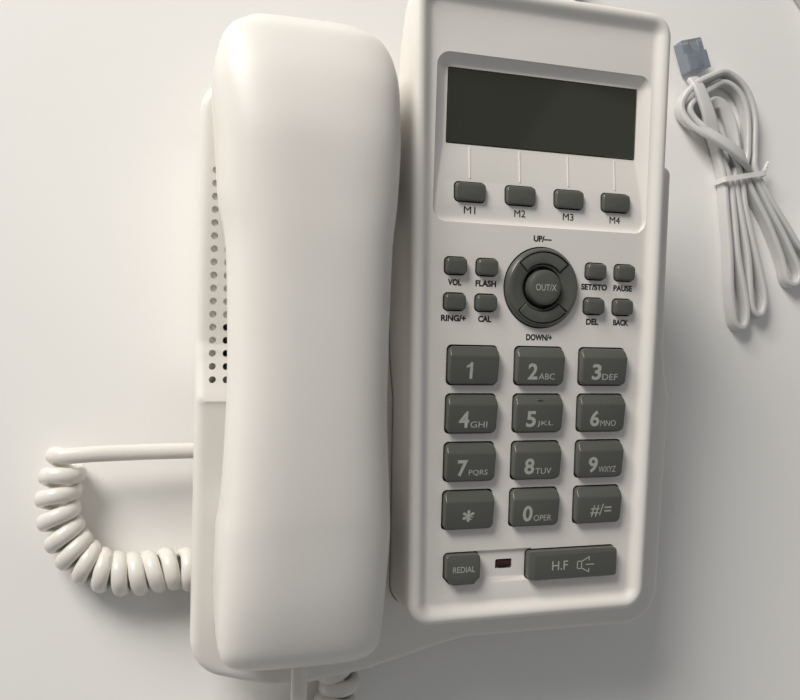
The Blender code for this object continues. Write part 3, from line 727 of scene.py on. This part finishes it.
# %% [markdown]
# Four fine ribs run down the shelf, one to each memory key, to tie it to its line on the
# display. They are thin strips that follow the shelf's own curve.

# %% Control panel: ribs, and the finished piece
ribs = []
for i in range(1, 5):
    u = middle(f"key_memory_{i}").x
    vs = [53.4 + 0.9 * k for k in range(11)]
    section = [(-0.28, -0.2), (0.28, -0.2), (0.16, 0.16), (-0.16, 0.16)]
    ribs.append(loft([[(u + du, v, shelf(v) + dw) for du, dw in section] for v in vs]))
control_panel = piece("control_panel_shell", [(together([panel] + ribs), ivory_abs)],
                      replaces=("control_panel",))
print("panel:", len(control_panel.data.polygons), "faces")

# %% [markdown]
# Legends are printed. Each is set as a text object, made a mesh, stretched to the
# printed size and left standing a few hundredths of a millimetre proud, as ink is.


# %% Lettering
def lettering(words, at, height, width=None, bold=0.0, tilt=None):
    """Printed words as a bmesh, centred at (u, v, w), in mm."""
    curve = bpy.data.curves.new("words", "FONT")
    curve.body = words
    curve.extrude = 0.03
    curve.offset = bold
    curve.resolution_u = 4
    item = added("words", curve)
    mesh = evaluated(item)
    bpy.data.objects.remove(item)
    work = to_work(mesh)
    bmesh.ops.remove_doubles(work, verts=work.verts, dist=1e-5)
    low, high = extent([v.co for v in work.verts])
    centre = (low + high) / 2
    tall = height / (high.y - low.y)
    wide = tall if width is None else width / (high.x - low.x)
    for v in work.verts:
        flat = Vector(((v.co.x - centre.x) * wide, (v.co.y - centre.y) * tall, v.co.z))
        v.co = (tilt @ flat if tilt else flat) + Vector(at)
    return work


def figure_one(at, height, tilt):
    """The figure 1, drawn with the flag that the built-in typeface leaves out."""
    outline = [(0.05, -0.5), (0.23, -0.5), (0.23, 0.5), (0.1, 0.5), (0.02, 0.38), (-0.16, 0.3),
               (-0.16, 0.17), (0.05, 0.24)]
    work = prism([(x * height, y * height) for x, y in outline], -0.03, 0.03)
    for v in work.verts:
        v.co = tilt @ v.co + Vector(at)
    return work


probe = lettering("0", (0, 0, 0), 5)
print("a printed digit has", len(probe.faces), "faces")
probe.free()

# %% [markdown]
# A number key is a tall cap with rounded corners. Its face leans a little towards the
# user and its back edge slopes away as a band that catches the light. Two slicing
# planes make those facets, and a narrow bevel softens every edge of the top.


# %% Key caps
FACE_TILT = math.radians(6)
KEY_BOTTOM = -6.9
SUNK = 0.012                    # how far a legend's middle lies under its key's face


def cap(width, height, top, band, band_slope, r=1.6, lean=0.0, edge=0.4):
    """A key cap about its own centre, with a sloping band along its back."""
    work = prism(rect(width, height, r), KEY_BOTTOM, top)
    crease = height / 2 - band
    slice_off(work, (0, crease, top), (0, math.sin(band_slope), math.cos(band_slope)))
    if lean:
        slice_off(work, (0, crease, top), (0, -math.sin(lean), math.cos(lean)))
    soften(work, edge, top - 2.2)
    return work


def moved(work, at):
    bmesh.ops.translate(work, verts=work.verts, vec=Vector((at[0], at[1], 0)))
    return work


def key_piece(node_name, work, legends=()):
    works = [(work, key_abs)] + ([(together(legends), legend_ink)] if legends else [])
    piece(node_name + "_cap", works, body=node_name, replaces=(node_name,), smooth=30)


LETTERS = {"one": ("1", ""), "two": ("2", "ABC"), "three": ("3", "DEF"), "four": ("4", "GHI"),
           "five": ("5", "JKL"), "six": ("6", "MNO"), "seven": ("7", "PQRS"), "eight": ("8", "TUV"),
           "nine": ("9", "WXYZ"), "star": ("*", ""), "zero": ("0", "OPER"), "hash": ("#/=", "")}
DIGIT = (-2.7, -1.5, 4.8, 3.1, 0.025)   # place on the key, height, width and boldness
SIGNS = {"#/=": (0.6, -1.4, 4, 7, 0.0), "*": (-0.4, -1.4, 3.6, 3.6, 0.02)}
BAND = 2.7                              # width of the sloping band along the back
number_top = plan("key_five")[2]
lean_face = Matrix.Rotation(FACE_TILT, 3, "X")
for word, (digit, small) in LETTERS.items():
    (u, v), size, _ = plan(f"key_{word}")
    shape = moved(cap(*size, number_top, BAND, math.radians(33), lean=FACE_TILT), (u, v))

    def on_face(du, dv):
        drop = (size[1] / 2 - BAND - dv) * math.tan(FACE_TILT)
        return u + du, v + dv, number_top - drop - SUNK

    du, dv, tall, wide, bold = SIGNS.get(digit, DIGIT)
    legends = [figure_one(on_face(-1.7, -1.4), tall, lean_face) if digit == "1" else
               lettering(digit, on_face(du, dv), tall, wide, bold, lean_face)]
    if small:
        wide = 5.8 if len(small) == 4 else 5.2
        legends.append(lettering(small, on_face(wide / 2 - 0.7, -2.95), 1.8, wide, 0.0, lean_face))
    if word == "five":
        nub = stacked(rect(1.7, 0.5, 0.24, (u, v + 4.1)), [(0, -0.6), (0, 0.28), (0.12, 0.42)])
        shape = together([shape, nub])
    key_piece(f"key_{word}", shape, legends)
print("number keys:", len(LETTERS))

# %% [markdown]
# The small keys are plain pillows. The redial key has its two front corners cut off,
# and the long hands-free key carries the outline of a loudspeaker.

# %% Small, memory and bottom keys
# The loudspeaker's lines, each a run of points; its drop below the key's middle; half a
# line's width.
SYMBOL = [[(1.2, -1.1), (1.2, 1.1), (2.6, 1.1), (2.6, -1.1), (1.2, -1.1)],
          [(2.6, 1.0), (5.1, 2.3), (5.1, 1.3)], [(2.6, -1.0), (5.1, -2.3), (5.1, -1.3)],
          [(4.2, 0), (6.7, 0)]]
SYMBOL_DROP, HALF_LINE = 0.4, 0.14
SMALL_BAND = math.radians(14)
for name in CAPS:
    word = name[4:]
    if word in LETTERS:
        continue
    (u, v), size, top = plan(name)
    legends = []
    if word == "redial":
        shape = prism([(x - u, y - v) for x, y in redial_outline()], KEY_BOTTOM, top)
        slice_off(shape, (0, size[1] / 2 - 2, top), (0, math.sin(0.28), math.cos(0.28)))
        soften(shape, 0.4, top - 2)
        legends = [lettering("REDIAL", (u + 0.1, v + 0.2, top - SUNK), 1.7, 6.8)]
    elif word == "handsfree":
        shape = prism(rect(*size, 0.9), KEY_BOTTOM, top)
        slice_off(shape, (-size[0] / 2 + 1.7, 0, top), (-math.sin(0.45), 0, math.cos(0.45)))
        slice_off(shape, (0, size[1] / 2 - 1.2, top), (0, math.sin(0.4), math.cos(0.4)))
        soften(shape, 0.4, top - 2)
        legends = [lettering("H.F", (u - 4.6, v - 0.2, top - SUNK), 2.7, 5.2)]
        for a, b in [ends for line in SYMBOL for ends in zip(line, line[1:])]:
            a, b = Vector(a), Vector(b)
            t = (b - a).normalized() * HALF_LINE
            n = Vector((-t.y, t.x))
            stroke = (a - t - n, b + t - n, b + t + n, a - t + n)
            legends.append(prism([(u + p.x, v - SYMBOL_DROP + p.y) for p in stroke],
                                 top - 0.04, top + 0.02))
    elif word.startswith("memory"):
        shape = cap(*size, top, 1.5, SMALL_BAND, r=1.0)
    else:
        shape = cap(*size, top, 1.2, SMALL_BAND, r=1.1, edge=0.55)
    key_piece(name, moved(shape, (u, v)), legends)
print("other caps:", len(CAPS) - len(LETTERS))

# %% [markdown]
# The round group is a fixed ring with two curved keys let into it, up and down, and a
# domed round key in the middle. Rings and arcs are lofted in polar steps, so their
# edges stay true circles.

# %% Round key group
low_w = deck_box("nav_ring")[0].z
out_top = deck_box("key_out")[1].z
ring_profile = [(6.2, low_w + 1), (11.6, low_w + 1), (11.6, -1.2), (11.35, -0.6), (10.9, -0.15),
                (10.3, 0), (9.7, -0.12), (7.2, -0.7), (6.5, -0.85), (6.2, -1.1)]
ring = bmesh.new()
around = [[ring.verts.new((ring_at.x + r * math.cos(t), ring_at.y + r * math.sin(t), w))
           for r, w in ring_profile] for t in (2 * math.pi * i / 96 for i in range(96))]
for i, here in enumerate(around):
    there = around[(i + 1) % len(around)]
    for k in range(len(here)):
        j = (k + 1) % len(here)
        ring.faces.new((here[k], there[k], there[j], here[j]))
bmesh.ops.recalc_face_normals(ring, faces=ring.faces)


SPREAD = math.radians(96)
ARC_KEY = (7.0, 10.3)           # inner and outer radius of the up and down keys
ARC_GAP = 0.28


def arc(side, gap=0.0, widen=0.0, steps=24):
    """Outline of the up key, side 1, or the down key, side -1, grown for its opening."""
    spread = SPREAD + widen
    angles = [side * math.pi / 2 + spread * (k / steps - 0.5) for k in range(steps + 1)]
    return [(ring_at.x + r * math.cos(a), ring_at.y + r * math.sin(a))
            for r, way in ((ARC_KEY[1] + gap, angles), (ARC_KEY[0] - gap, angles[::-1])) for a in way]


ring = cut(ring, [prism(arc(side, ARC_GAP, 0.07), -10, OPEN_TO) for side in (1, -1)])
piece("round_key_ring", [(ring, key_abs)], replaces=("nav_ring",), smooth=30)
for name, side in (("key_up", 1), ("key_down", -1)):
    key_piece(name, stacked(arc(side), [(0, low_w), (0, -0.55), (0.12, -0.3), (0.35, -0.2)]))
dome_rings = [(5.2, -0.9), (5.2, out_top - 1), (5.0, out_top - 0.55), (4.55, out_top - 0.25),
              (3.6, out_top - 0.08), (2, out_top)]
dome = loft([level(circle(r, 64, ring_at[:2]), w) for r, w in [(5.2, low_w)] + dome_rings])
key_piece("key_out", dome, [lettering("OUT/X", (ring_at.x, ring_at.y, out_top), 1.9, 6.6)])
print("round group at", [round(c, 1) for c in ring_at])

# %% [markdown]
# The words beside the keys are printed in black on the panel's face.

# %% Panel labels
LABELS = {"key_volume": "VOL", "key_flash": "FLASH", "key_ring": "RING/+", "key_calibrate": "CAL",
          "key_store": "SET/STO", "key_pause": "PAUSE", "key_delete": "DEL", "key_back": "BACK"}
LABEL_BOLD = 0.045
words = []
for name, label in LABELS.items():
    (u, v), size, _ = plan(name)
    words.append(lettering(label, (u, v - size[1] / 2 - 2.35, FACE_W), 1.85, 1.15 * len(label) + 0.7,
                           LABEL_BOLD))
for label, dv, tall, wide in (("UP/—", 14.3, 1.85, 5.8), ("DOWN/+", -14.6, 1.9, 8.4)):
    words.append(lettering(label, (ring_at.x, ring_at.y + dv, FACE_W), tall, wide, LABEL_BOLD))
for i in range(1, 5):
    (u, v), size, _ = plan(f"key_memory_{i}")
    v -= size[1] / 2 + 2.5
    slope = math.atan(shelf(v - 0.5) - shelf(v + 0.5))
    words.append(lettering(f"M{i}", (u, v, shelf(v) + 0.05), 2.0, 3.5, 0.0,
                           Matrix.Rotation(-slope, 3, "X")))
piece("panel_labels", [(together(words), label_ink)])
print("labels:", len(words))

# %% [markdown]
# The display is a polished dark olive lens let flush into the recess, switched off. The
# indicator is a small dark red window.

# %% Display and indicator
at, size, _ = plan("display_window")
low, high = deck_box("display_window")
lens = stacked(rect(*size, 0.6, at), [(0, low.z), (0, high.z - 0.2), (0.2, high.z)])
piece("display_lens", [(lens, display_lens)], replaces=("display_window",))
print("display", [round(s, 1) for s in size], "mm")
at, size, _ = plan("indicator_lens")
lens = stacked(rect(*size, 0.5, at),
               [(0, deck_box("indicator_lens")[0].z), (0, -3.0), (0.25, -2.6), (0.6, -2.5)])
piece("indicator_window", [(lens, indicator_lens)], replaces=("indicator_lens",))

# %% [markdown]
# The base's upper housing is a thin shell: a cradle for the handset on the left and a
# low apron round the panel. Its top follows one profile along the slope, with a crest
# across it, and its outline is rounded over by 3 mm. The solid is first drawn with a
# flat top, sliced into strips across the slope, and then every point of the top is
# dropped onto the profile, so the rounded edge and the crest come out together.

# %% Upper housing: body
BASE = [(-97, -90, 12), (-70, -98.5, 40), (-44, -95, 30), (-14, -87.5, 50),
        (57, -88, 12), (57, 66, 3), (-27, 66, 5), (-40, 79.5, 6), (-97, 79.5, 10)]
DECK_PROFILE = [(-104, -21.5), (-92, -20.4), (-55, -19.3), (-16, -17.9), (-12, -17.5), (-7, -19),
                (2, -21.3), (14, -22), (100, -22)]
RIM_BOTTOM = -24.8
EDGE = [(0, -2.2), (0.12, -1.5), (0.5, -0.85), (1.1, -0.35), (1.9, -0.08), (2.8, 0)]
profile_line = [(p.x, p.y) for p in smooth_route([(v, w, 0) for v, w in DECK_PROFILE], 1.5)]


def deck_w(v):
    return height_at(profile_line, v)


def drop_onto_deck(work, flat_bottom):
    """Slices a flat-topped solid across the slope and lays its top on the profile."""
    for v, _ in profile_line[1:-1]:
        geometry = work.verts[:] + work.edges[:] + work.faces[:]
        bmesh.ops.bisect_plane(work, geom=geometry, dist=1e-4, plane_co=(0, v, 0), plane_no=(0, 1, 0))
    for p in work.verts:
        p.co.z = flat_bottom if p.co.z < -5 else deck_w(p.co.y) + p.co.z
    return work


base_outline = rounded(BASE, 8)
housing = stacked(base_outline, [(0, -10)] + EDGE)
housing = drop_onto_deck(housing, RIM_BOTTOM)
inner = [(-58, -72, 8), (-30, -80, 8), (52, -80, 8), (52, 61, 3), (-30, 61, 4),
         (-43, 74.5, 4), (-92, 74.5, 6), (-92, -2, 4), (-76, -8, 4), (-76, -44, 4)]
inside = drop_onto_deck(prism(rounded(inner), -10, -WALL), -40)
housing = cut(housing, inside)
print("upper housing:", len(housing.faces), "faces")

# %% [markdown]
# Two wells take the ear and mouth ends of the handset. Behind the crest the cradle's
# floor carries a field of round holes for the ringer's loudspeaker, fourteen columns by
# seventeen rows. Those over the cone and a short column at the front go through; the rest
# are blind and set the pattern. Geometry Nodes repeat one drill over a grid of points,
# and the same tree later drills the handset's two capsules.


# %% A grid of drills
def perforations():
    """Node tree: a grid of round drills. Its inputs are the sizes, in mm."""
    tree = bpy.data.node_groups.new("perforations", "GeometryNodeTree")
    face = tree.interface
    for name, kind in (("Across", "Float"), ("Along", "Float"), ("Columns", "Int"), ("Rows", "Int"),
                       ("Hole", "Float"), ("Depth", "Float"), ("Finish", "Material")):
        face.new_socket(name, in_out="INPUT", socket_type="NodeSocket" + kind)
    face.new_socket("Drills", in_out="OUTPUT", socket_type="NodeSocketGeometry")
    given = node(tree, "NodeGroupInput").outputs
    radius = node(tree, "ShaderNodeMath", {"operation": "MULTIPLY"}, {0: given["Hole"], 1: 0.5})
    grid = node(tree, "GeometryNodeMeshGrid", inputs={
        "Size X": given["Across"], "Size Y": given["Along"],
        "Vertices X": given["Columns"], "Vertices Y": given["Rows"]})
    drill = node(tree, "GeometryNodeMeshCylinder", inputs={
        "Vertices": 12, "Radius": radius.outputs[0], "Depth": given["Depth"]})
    set_out = node(tree, "GeometryNodeInstanceOnPoints", inputs={
        "Points": grid.outputs["Mesh"], "Instance": drill.outputs["Mesh"]})
    real = node(tree, "GeometryNodeRealizeInstances", inputs={"Geometry": set_out.outputs[0]})
    finished = node(tree, "GeometryNodeSetMaterial", inputs={
        "Geometry": real.outputs[0], "Material": given["Finish"]})
    node(tree, "NodeGroupOutput", inputs={"Drills": finished.outputs[0]})
    return tree


DRILLS = perforations()


def drills(at, across, length, columns, rows, hole, depth):
    """The tree's result as a bmesh at (u, v, w)."""
    item = added("drills", bpy.data.meshes.new("drills"))
    change = item.modifiers.new("perforations", "NODES")
    change.node_group = DRILLS
    sizes = {"Across": across, "Along": length, "Columns": columns, "Rows": rows, "Hole": hole,
             "Depth": depth, "Finish": ivory_abs}
    for socket in DRILLS.interface.items_tree:
        if socket.in_out == "INPUT":
            change[socket.identifier] = sizes[socket.name]
    mesh = evaluated(item)
    bpy.data.objects.remove(item)
    mesh.transform(Matrix.Translation(at))
    return to_work(mesh)


probe = drills((0, 0, 0), 10, 10, 3, 3, 2, 5)
print("nine drills have", len(probe.faces), "faces")
probe.free()


# %% Upper housing: wells, holes and the finished piece
HANDSET_U = -69


def well(u, v, width, length, grow, low, high):
    return prism(rect(width + 2 * grow, length + 2 * grow, 5 + grow, (u, v)), low, high)


EAR_WELL, EAR_FLOOR = (HANDSET_U, 63.5, 39, 17), -27
MOUTH_WELL, MOUTH_FLOOR = (HANDSET_U + 0.5, -64, 44, 36), -22.6
housing = cut(housing, well(*EAR_WELL, 2, EAR_FLOOR - WALL, -22.5), "UNION")
housing = cut(housing, well(*MOUTH_WELL, 2, RIM_BOTTOM + 0.05, -20.6), "UNION")
hook_size = plan("hook_switch")[1]
hook_hole = prism(rect(hook_size[0] + 0.7, hook_size[1] + 0.7, 1, EAR_WELL[:2]), -50, -10)
PITCH = (3.8, 3.7)
FIELD_AT = (HANDSET_U + 1.2, 23.5)      # middle of the loudspeaker's field
field = drills((*FIELD_AT, -20.1), 13 * PITCH[0], 16 * PITCH[1], 14, 17, 2.0, 6.2)
through = drills((*FIELD_AT, -22), 7 * PITCH[0], 8 * PITCH[1], 8, 9, 1.9, 8)
front = drills((FIELD_AT[0] - 5.5 * PITCH[0], 1.3, -21), 0, 4 * PITCH[1], 1, 5, 1.9, 6.4)
panel_opening = cut(prism(inset(panel_outline, -0.3), -50, 0),
                    box((-60, -90, -60), (60, 62.7, 10)), "INTERSECT")   # closed under the hood
housing = cut(housing, [well(*EAR_WELL, 0, EAR_FLOOR, 0), well(*MOUTH_WELL, 0, MOUTH_FLOOR, 0)])
housing = cut(housing, [panel_opening, hook_hole])
housing = cut(cut(cut(housing, field), through), front)
upper = piece("upper_housing_shell", [(housing, ivory_abs)], replaces=("upper_housing",),
              smooth=32)
print("upper housing:", len(upper.data.polygons), "faces")

# %% [markdown]
# The handset is two moulded halves that meet at a fine groove. Each is lofted through
# sections along its length: a flattened arch for the broad back, a squarer one for the
# face. The sections are eased into each other, so the long curves have no flats; the two
# ends are a little rounder than the CAD model's. The two cups that sit in the wells are joined on below.

# %% Handset: sections
HANDSET = [(-83.3, -84, -54.3, 3, -9), (-81.5, -88.7, -49.3, 6.8, -12),    # v, left, right, back, face
           (-77, -91, -46.6, 10.8, -14.8), (-62, -91.9, -45.8, 14.7, -14.8),
           (-46, -91.8, -45.2, 16.5, -14.2), (-36, -91, -45.8, 17.3, -5), (-5, -90, -47.5, 18, -2.5),
           (30, -91, -47.2, 18, -4), (44, -93, -46, 17.6, -15), (58, -94, -45.5, 17, -17.2),
           (73.2, -95.2, -45.8, 14, -17.2), (82.2, -94.1, -47.5, 10.3, -14),
           (87.8, -91.2, -51, 7, -11), (91.2, -85.6, -58, 3, -5)]
PARTING = -4                    # where the two halves meet, in the deck frame
GROOVE = 0.2                    # half the groove between them


def eased(stations, parts):
    """Stations with more between them, on a curve through them that never overshoots."""
    slopes = []
    for i, here in enumerate(stations):
        row = []
        for k in range(len(here)):
            if i in (0, len(stations) - 1):
                row.append(0.0)
                continue
            before, after = here[k] - stations[i - 1][k], stations[i + 1][k] - here[k]
            row.append(0.0 if before * after <= 0 else 2 * before * after / (before + after))
        slopes.append(row)
    slopes[0] = [b - a for a, b in zip(stations[0], stations[1])]
    slopes[-1] = [b - a for a, b in zip(stations[-2], stations[-1])]
    out = []
    for i in range(len(stations) - 1):
        for step in range(parts):
            t = step / parts
            ends = (2 * t ** 3 - 3 * t ** 2 + 1, t ** 3 - 2 * t ** 2 + t,
                    3 * t ** 2 - 2 * t ** 3, t ** 3 - t ** 2)
            out.append([ends[0] * a + ends[1] * sa + ends[2] * b + ends[3] * sb for a, sa, b, sb in
                        zip(stations[i], slopes[i], stations[i + 1], slopes[i + 1])])
    return out + [list(stations[-1])]


def arch(left, right, rise, power, count=37):
    """Half a flattened ellipse from left to right."""
    centre, half = (left + right) / 2, (right - left) / 2
    points = []
    for i in range(count):
        angle = math.pi * i / (count - 1)
        c, s = math.cos(angle), max(0.0, math.sin(angle))
        points.append((centre - half * math.copysign(abs(c) ** power, c), rise * s ** power))
    return points


def handset_half(side):
    rings = []
    for v, left, right, back, face in eased(HANDSET, 7):
        rise, power, foot = (back, 0.62, GROOVE) if side == "back" else (face, 0.45, -GROOVE)
        curve = arch(left, right, rise, power)
        heights = [0] + [w for _, w in curve[1:-1]] + [0]
        rings.append([(u, v, w + foot + PARTING) for (u, _), w in zip(curve, heights)])
    return loft(rings)


handset_back = handset_half("back")
handset_face = handset_half("face")
print("handset halves:", len(handset_back.faces), len(handset_face.faces), "faces")

# %% [markdown]
# The cups carry the earpiece and the mouthpiece. Their undersides show holes
# when the handset is lifted, and the cord's socket opens in the front end.

# %% Handset: cups, slots and the finished pieces
SOCKET = ((-71, -95, PARTING - 7.6), (-64, -74, PARTING - 3))
for at, width, length, well_floor in ((EAR_WELL[:2], 36, 14.4, EAR_FLOOR),
                                      (MOUTH_WELL[:2], 40, 30, MOUTH_FLOOR)):
    floor_w = well_floor + 0.3
    cup = stacked(rect(width, length, 5, at),
                  [(1.4, floor_w), (0.5, floor_w + 0.4), (0, floor_w + 1.4), (0, -14)])
    handset_face = cut(handset_face, cup, "UNION")
ear_holes = drills((*EAR_WELL[:2], EAR_FLOOR), 22, 6.6, 9, 3, 1.5, 5)
mouth_holes = drills((*MOUTH_WELL[:2], MOUTH_FLOOR), 9, 9, 4, 4, 1.3, 4)
handset_face = cut(handset_face, [box(*SOCKET), ear_holes, mouth_holes])
lip = cut(box((-71.9, -85.4, PARTING - 8.5), (-63.1, -78, PARTING - 1.6)), box(*SOCKET))
back_piece = piece("handset_back", [(handset_back, ivory_abs)], body="handset",
                   replaces=("handset_back_shell",), smooth=50)
piece("handset_face", [(handset_face, ivory_abs), (lip, ivory_abs)], body="handset",
      replaces=("handset_face_shell",), smooth=40)
print("handset:", [round(c * 1000) for c in back_piece.dimensions], "mm")

# %% [markdown]
# The lower housing is the pan that the desk sees: it closes the shells from below, steps
# in at the front left to let the coiled cord pass, and holds both sockets. Its bottom
# edge is rounded, a lip shadows the joint with the upper shell, and the underside has a
# grid of vent slots and a sunken blank panel.

# %% Lower housing
LOWER = [(-22, -83, 5), (70, -83, 8), (70, 56, 4), (-3, 56, 4), (-20, 73.6, 4), (-74, 73.6, 6),
         (-74, -9, 3), (-59, -14, 3), (-59, -46, 4)]
FLOOR_Z, FLOOR_THICK = 3.2, 2
TOP_W = RIM_BOTTOM - 0.3


def slope_z(y, w):
    """World height, in mm, of the deck-frame plane w at world y."""
    return DECK_AT[2] + (w + (y - DECK_AT[1]) * math.sin(TILT)) / math.cos(TILT)


def sloping(outline, w):
    return [(x, y, slope_z(y, w)) for x, y in outline]


pan_outer = rounded(LOWER, 8)
pan_inner = inset(pan_outer, WALL)
pan = loft([level(pan_inner, FLOOR_Z + FLOOR_THICK), sloping(pan_inner, TOP_W),
            sloping(inset(pan_outer, 0.5), TOP_W), sloping(inset(pan_outer, 0.5), TOP_W - 0.9),
            sloping(pan_outer, TOP_W - 1.3)]
           + [level(inset(pan_outer, d), FLOOR_Z + h)
              for d, h in ((0, 2), (0.15, 1.3), (0.55, 0.55), (1.2, 0.12), (2, 0))])
pan_cuts = []
gap = Vector((0.3, 0.3, 0.3))
for name, before, after in (("handset_jack", (5, 0, 0), (0, 0, 0)), ("line_jack", (0, 0, 0), (0, 3, 0))):
    low, high = (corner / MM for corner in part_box(name))
    pan_cuts.append(box(low - Vector(before) - gap, high + Vector(after) + gap))
for i in (1, 2):
    low, high = (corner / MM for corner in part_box(f"housing_screw_{i}"))
    pan_cuts.append(prism(circle(2.7, 32, (low + high).xy / 2), 2, FLOOR_Z + 1.2))
for i in range(9):
    pan_cuts.append(prism(rect(2, 22, 0.95, (4 + 5 * i, 15)), 2, FLOOR_Z + FLOOR_THICK + 1))
pan_cuts.append(prism(rect(44, 26, 2, (20, -28)), 2, FLOOR_Z + 0.5))
pan = cut(pan, pan_cuts)
lower = piece("lower_housing_shell", [(pan, ivory_abs)], place=WORLD_MM,
              replaces=("lower_housing",), smooth=32)
print("lower housing:", len(lower.data.polygons), "faces")

# %% [markdown]
# What is left keeps its CAD shape and gets the finish of the real part: sockets, feet,
# screws, the hook's plunger, and what the shells enclose.

# %% Finishes of the CAD parts
FINISH = {"hook_switch": ivory_abs, "lcd_module": zinc_steel, "main_board": solder_mask,
          "keypad_membrane": dome_silicone}
for material, names in (
        (black_abs, ("handset_jack", "line_jack", "loudspeaker", "handset_receiver",
                     "handset_microphone")),
        (plug_clear, ("handset_cord_plug", "line_cord_plug")),
        (foot_rubber, [f"foot_{i}" for i in range(1, 5)]),
        (zinc_steel, ("housing_screw_1", "housing_screw_2"))):
    FINISH.update({name: material for name in names})
for name, material in FINISH.items():
    for holder in frame["nodes"][name].material_slots:
        holder.material = material
print("finished CAD parts:", len(FINISH))

# %% [markdown]
# Last come a pale floor and soft studio light: one lamp from the back left, like a
# window, which draws the shadow in each key's gap, a faint fill opposite it, and a dim
# even sky.

# %% Floor and light
floor = added("floor", to_mesh(box((-2, -2, -0.02), (2, 2, 0)), "floor"))
floor.data.materials.append(plain("pale_floor", "#F4F3F0", 0.7))


def lamp(name, at, size, watts, colour):
    light = added(name, bpy.data.lights.new(name, "AREA"))
    light.location = at
    light.rotation_euler = (Vector((0, 0, 0.03)) - Vector(at)).to_track_quat("-Z", "Y").to_euler()
    light.data.size = size
    light.data.energy = watts
    light.data.color = linear(colour)[:3]


lamp("window_side", (-0.7, 0.84, 0.63), 0.55, 16.5, "#FFFAF3")
lamp("room_side", (0.9, -0.5, 1.1), 1.4, 0.8, "#F4F7FF")
world = bpy.context.scene.world or bpy.data.worlds.new("room")
bpy.context.scene.world = world
world.use_nodes = True
sky = next(n for n in world.node_tree.nodes if n.type == "BACKGROUND")
sky.inputs["Color"].default_value = linear("#F2F3F5")
sky.inputs["Strength"].default_value = 0.22
bpy.context.scene.view_settings.view_transform = "Standard"
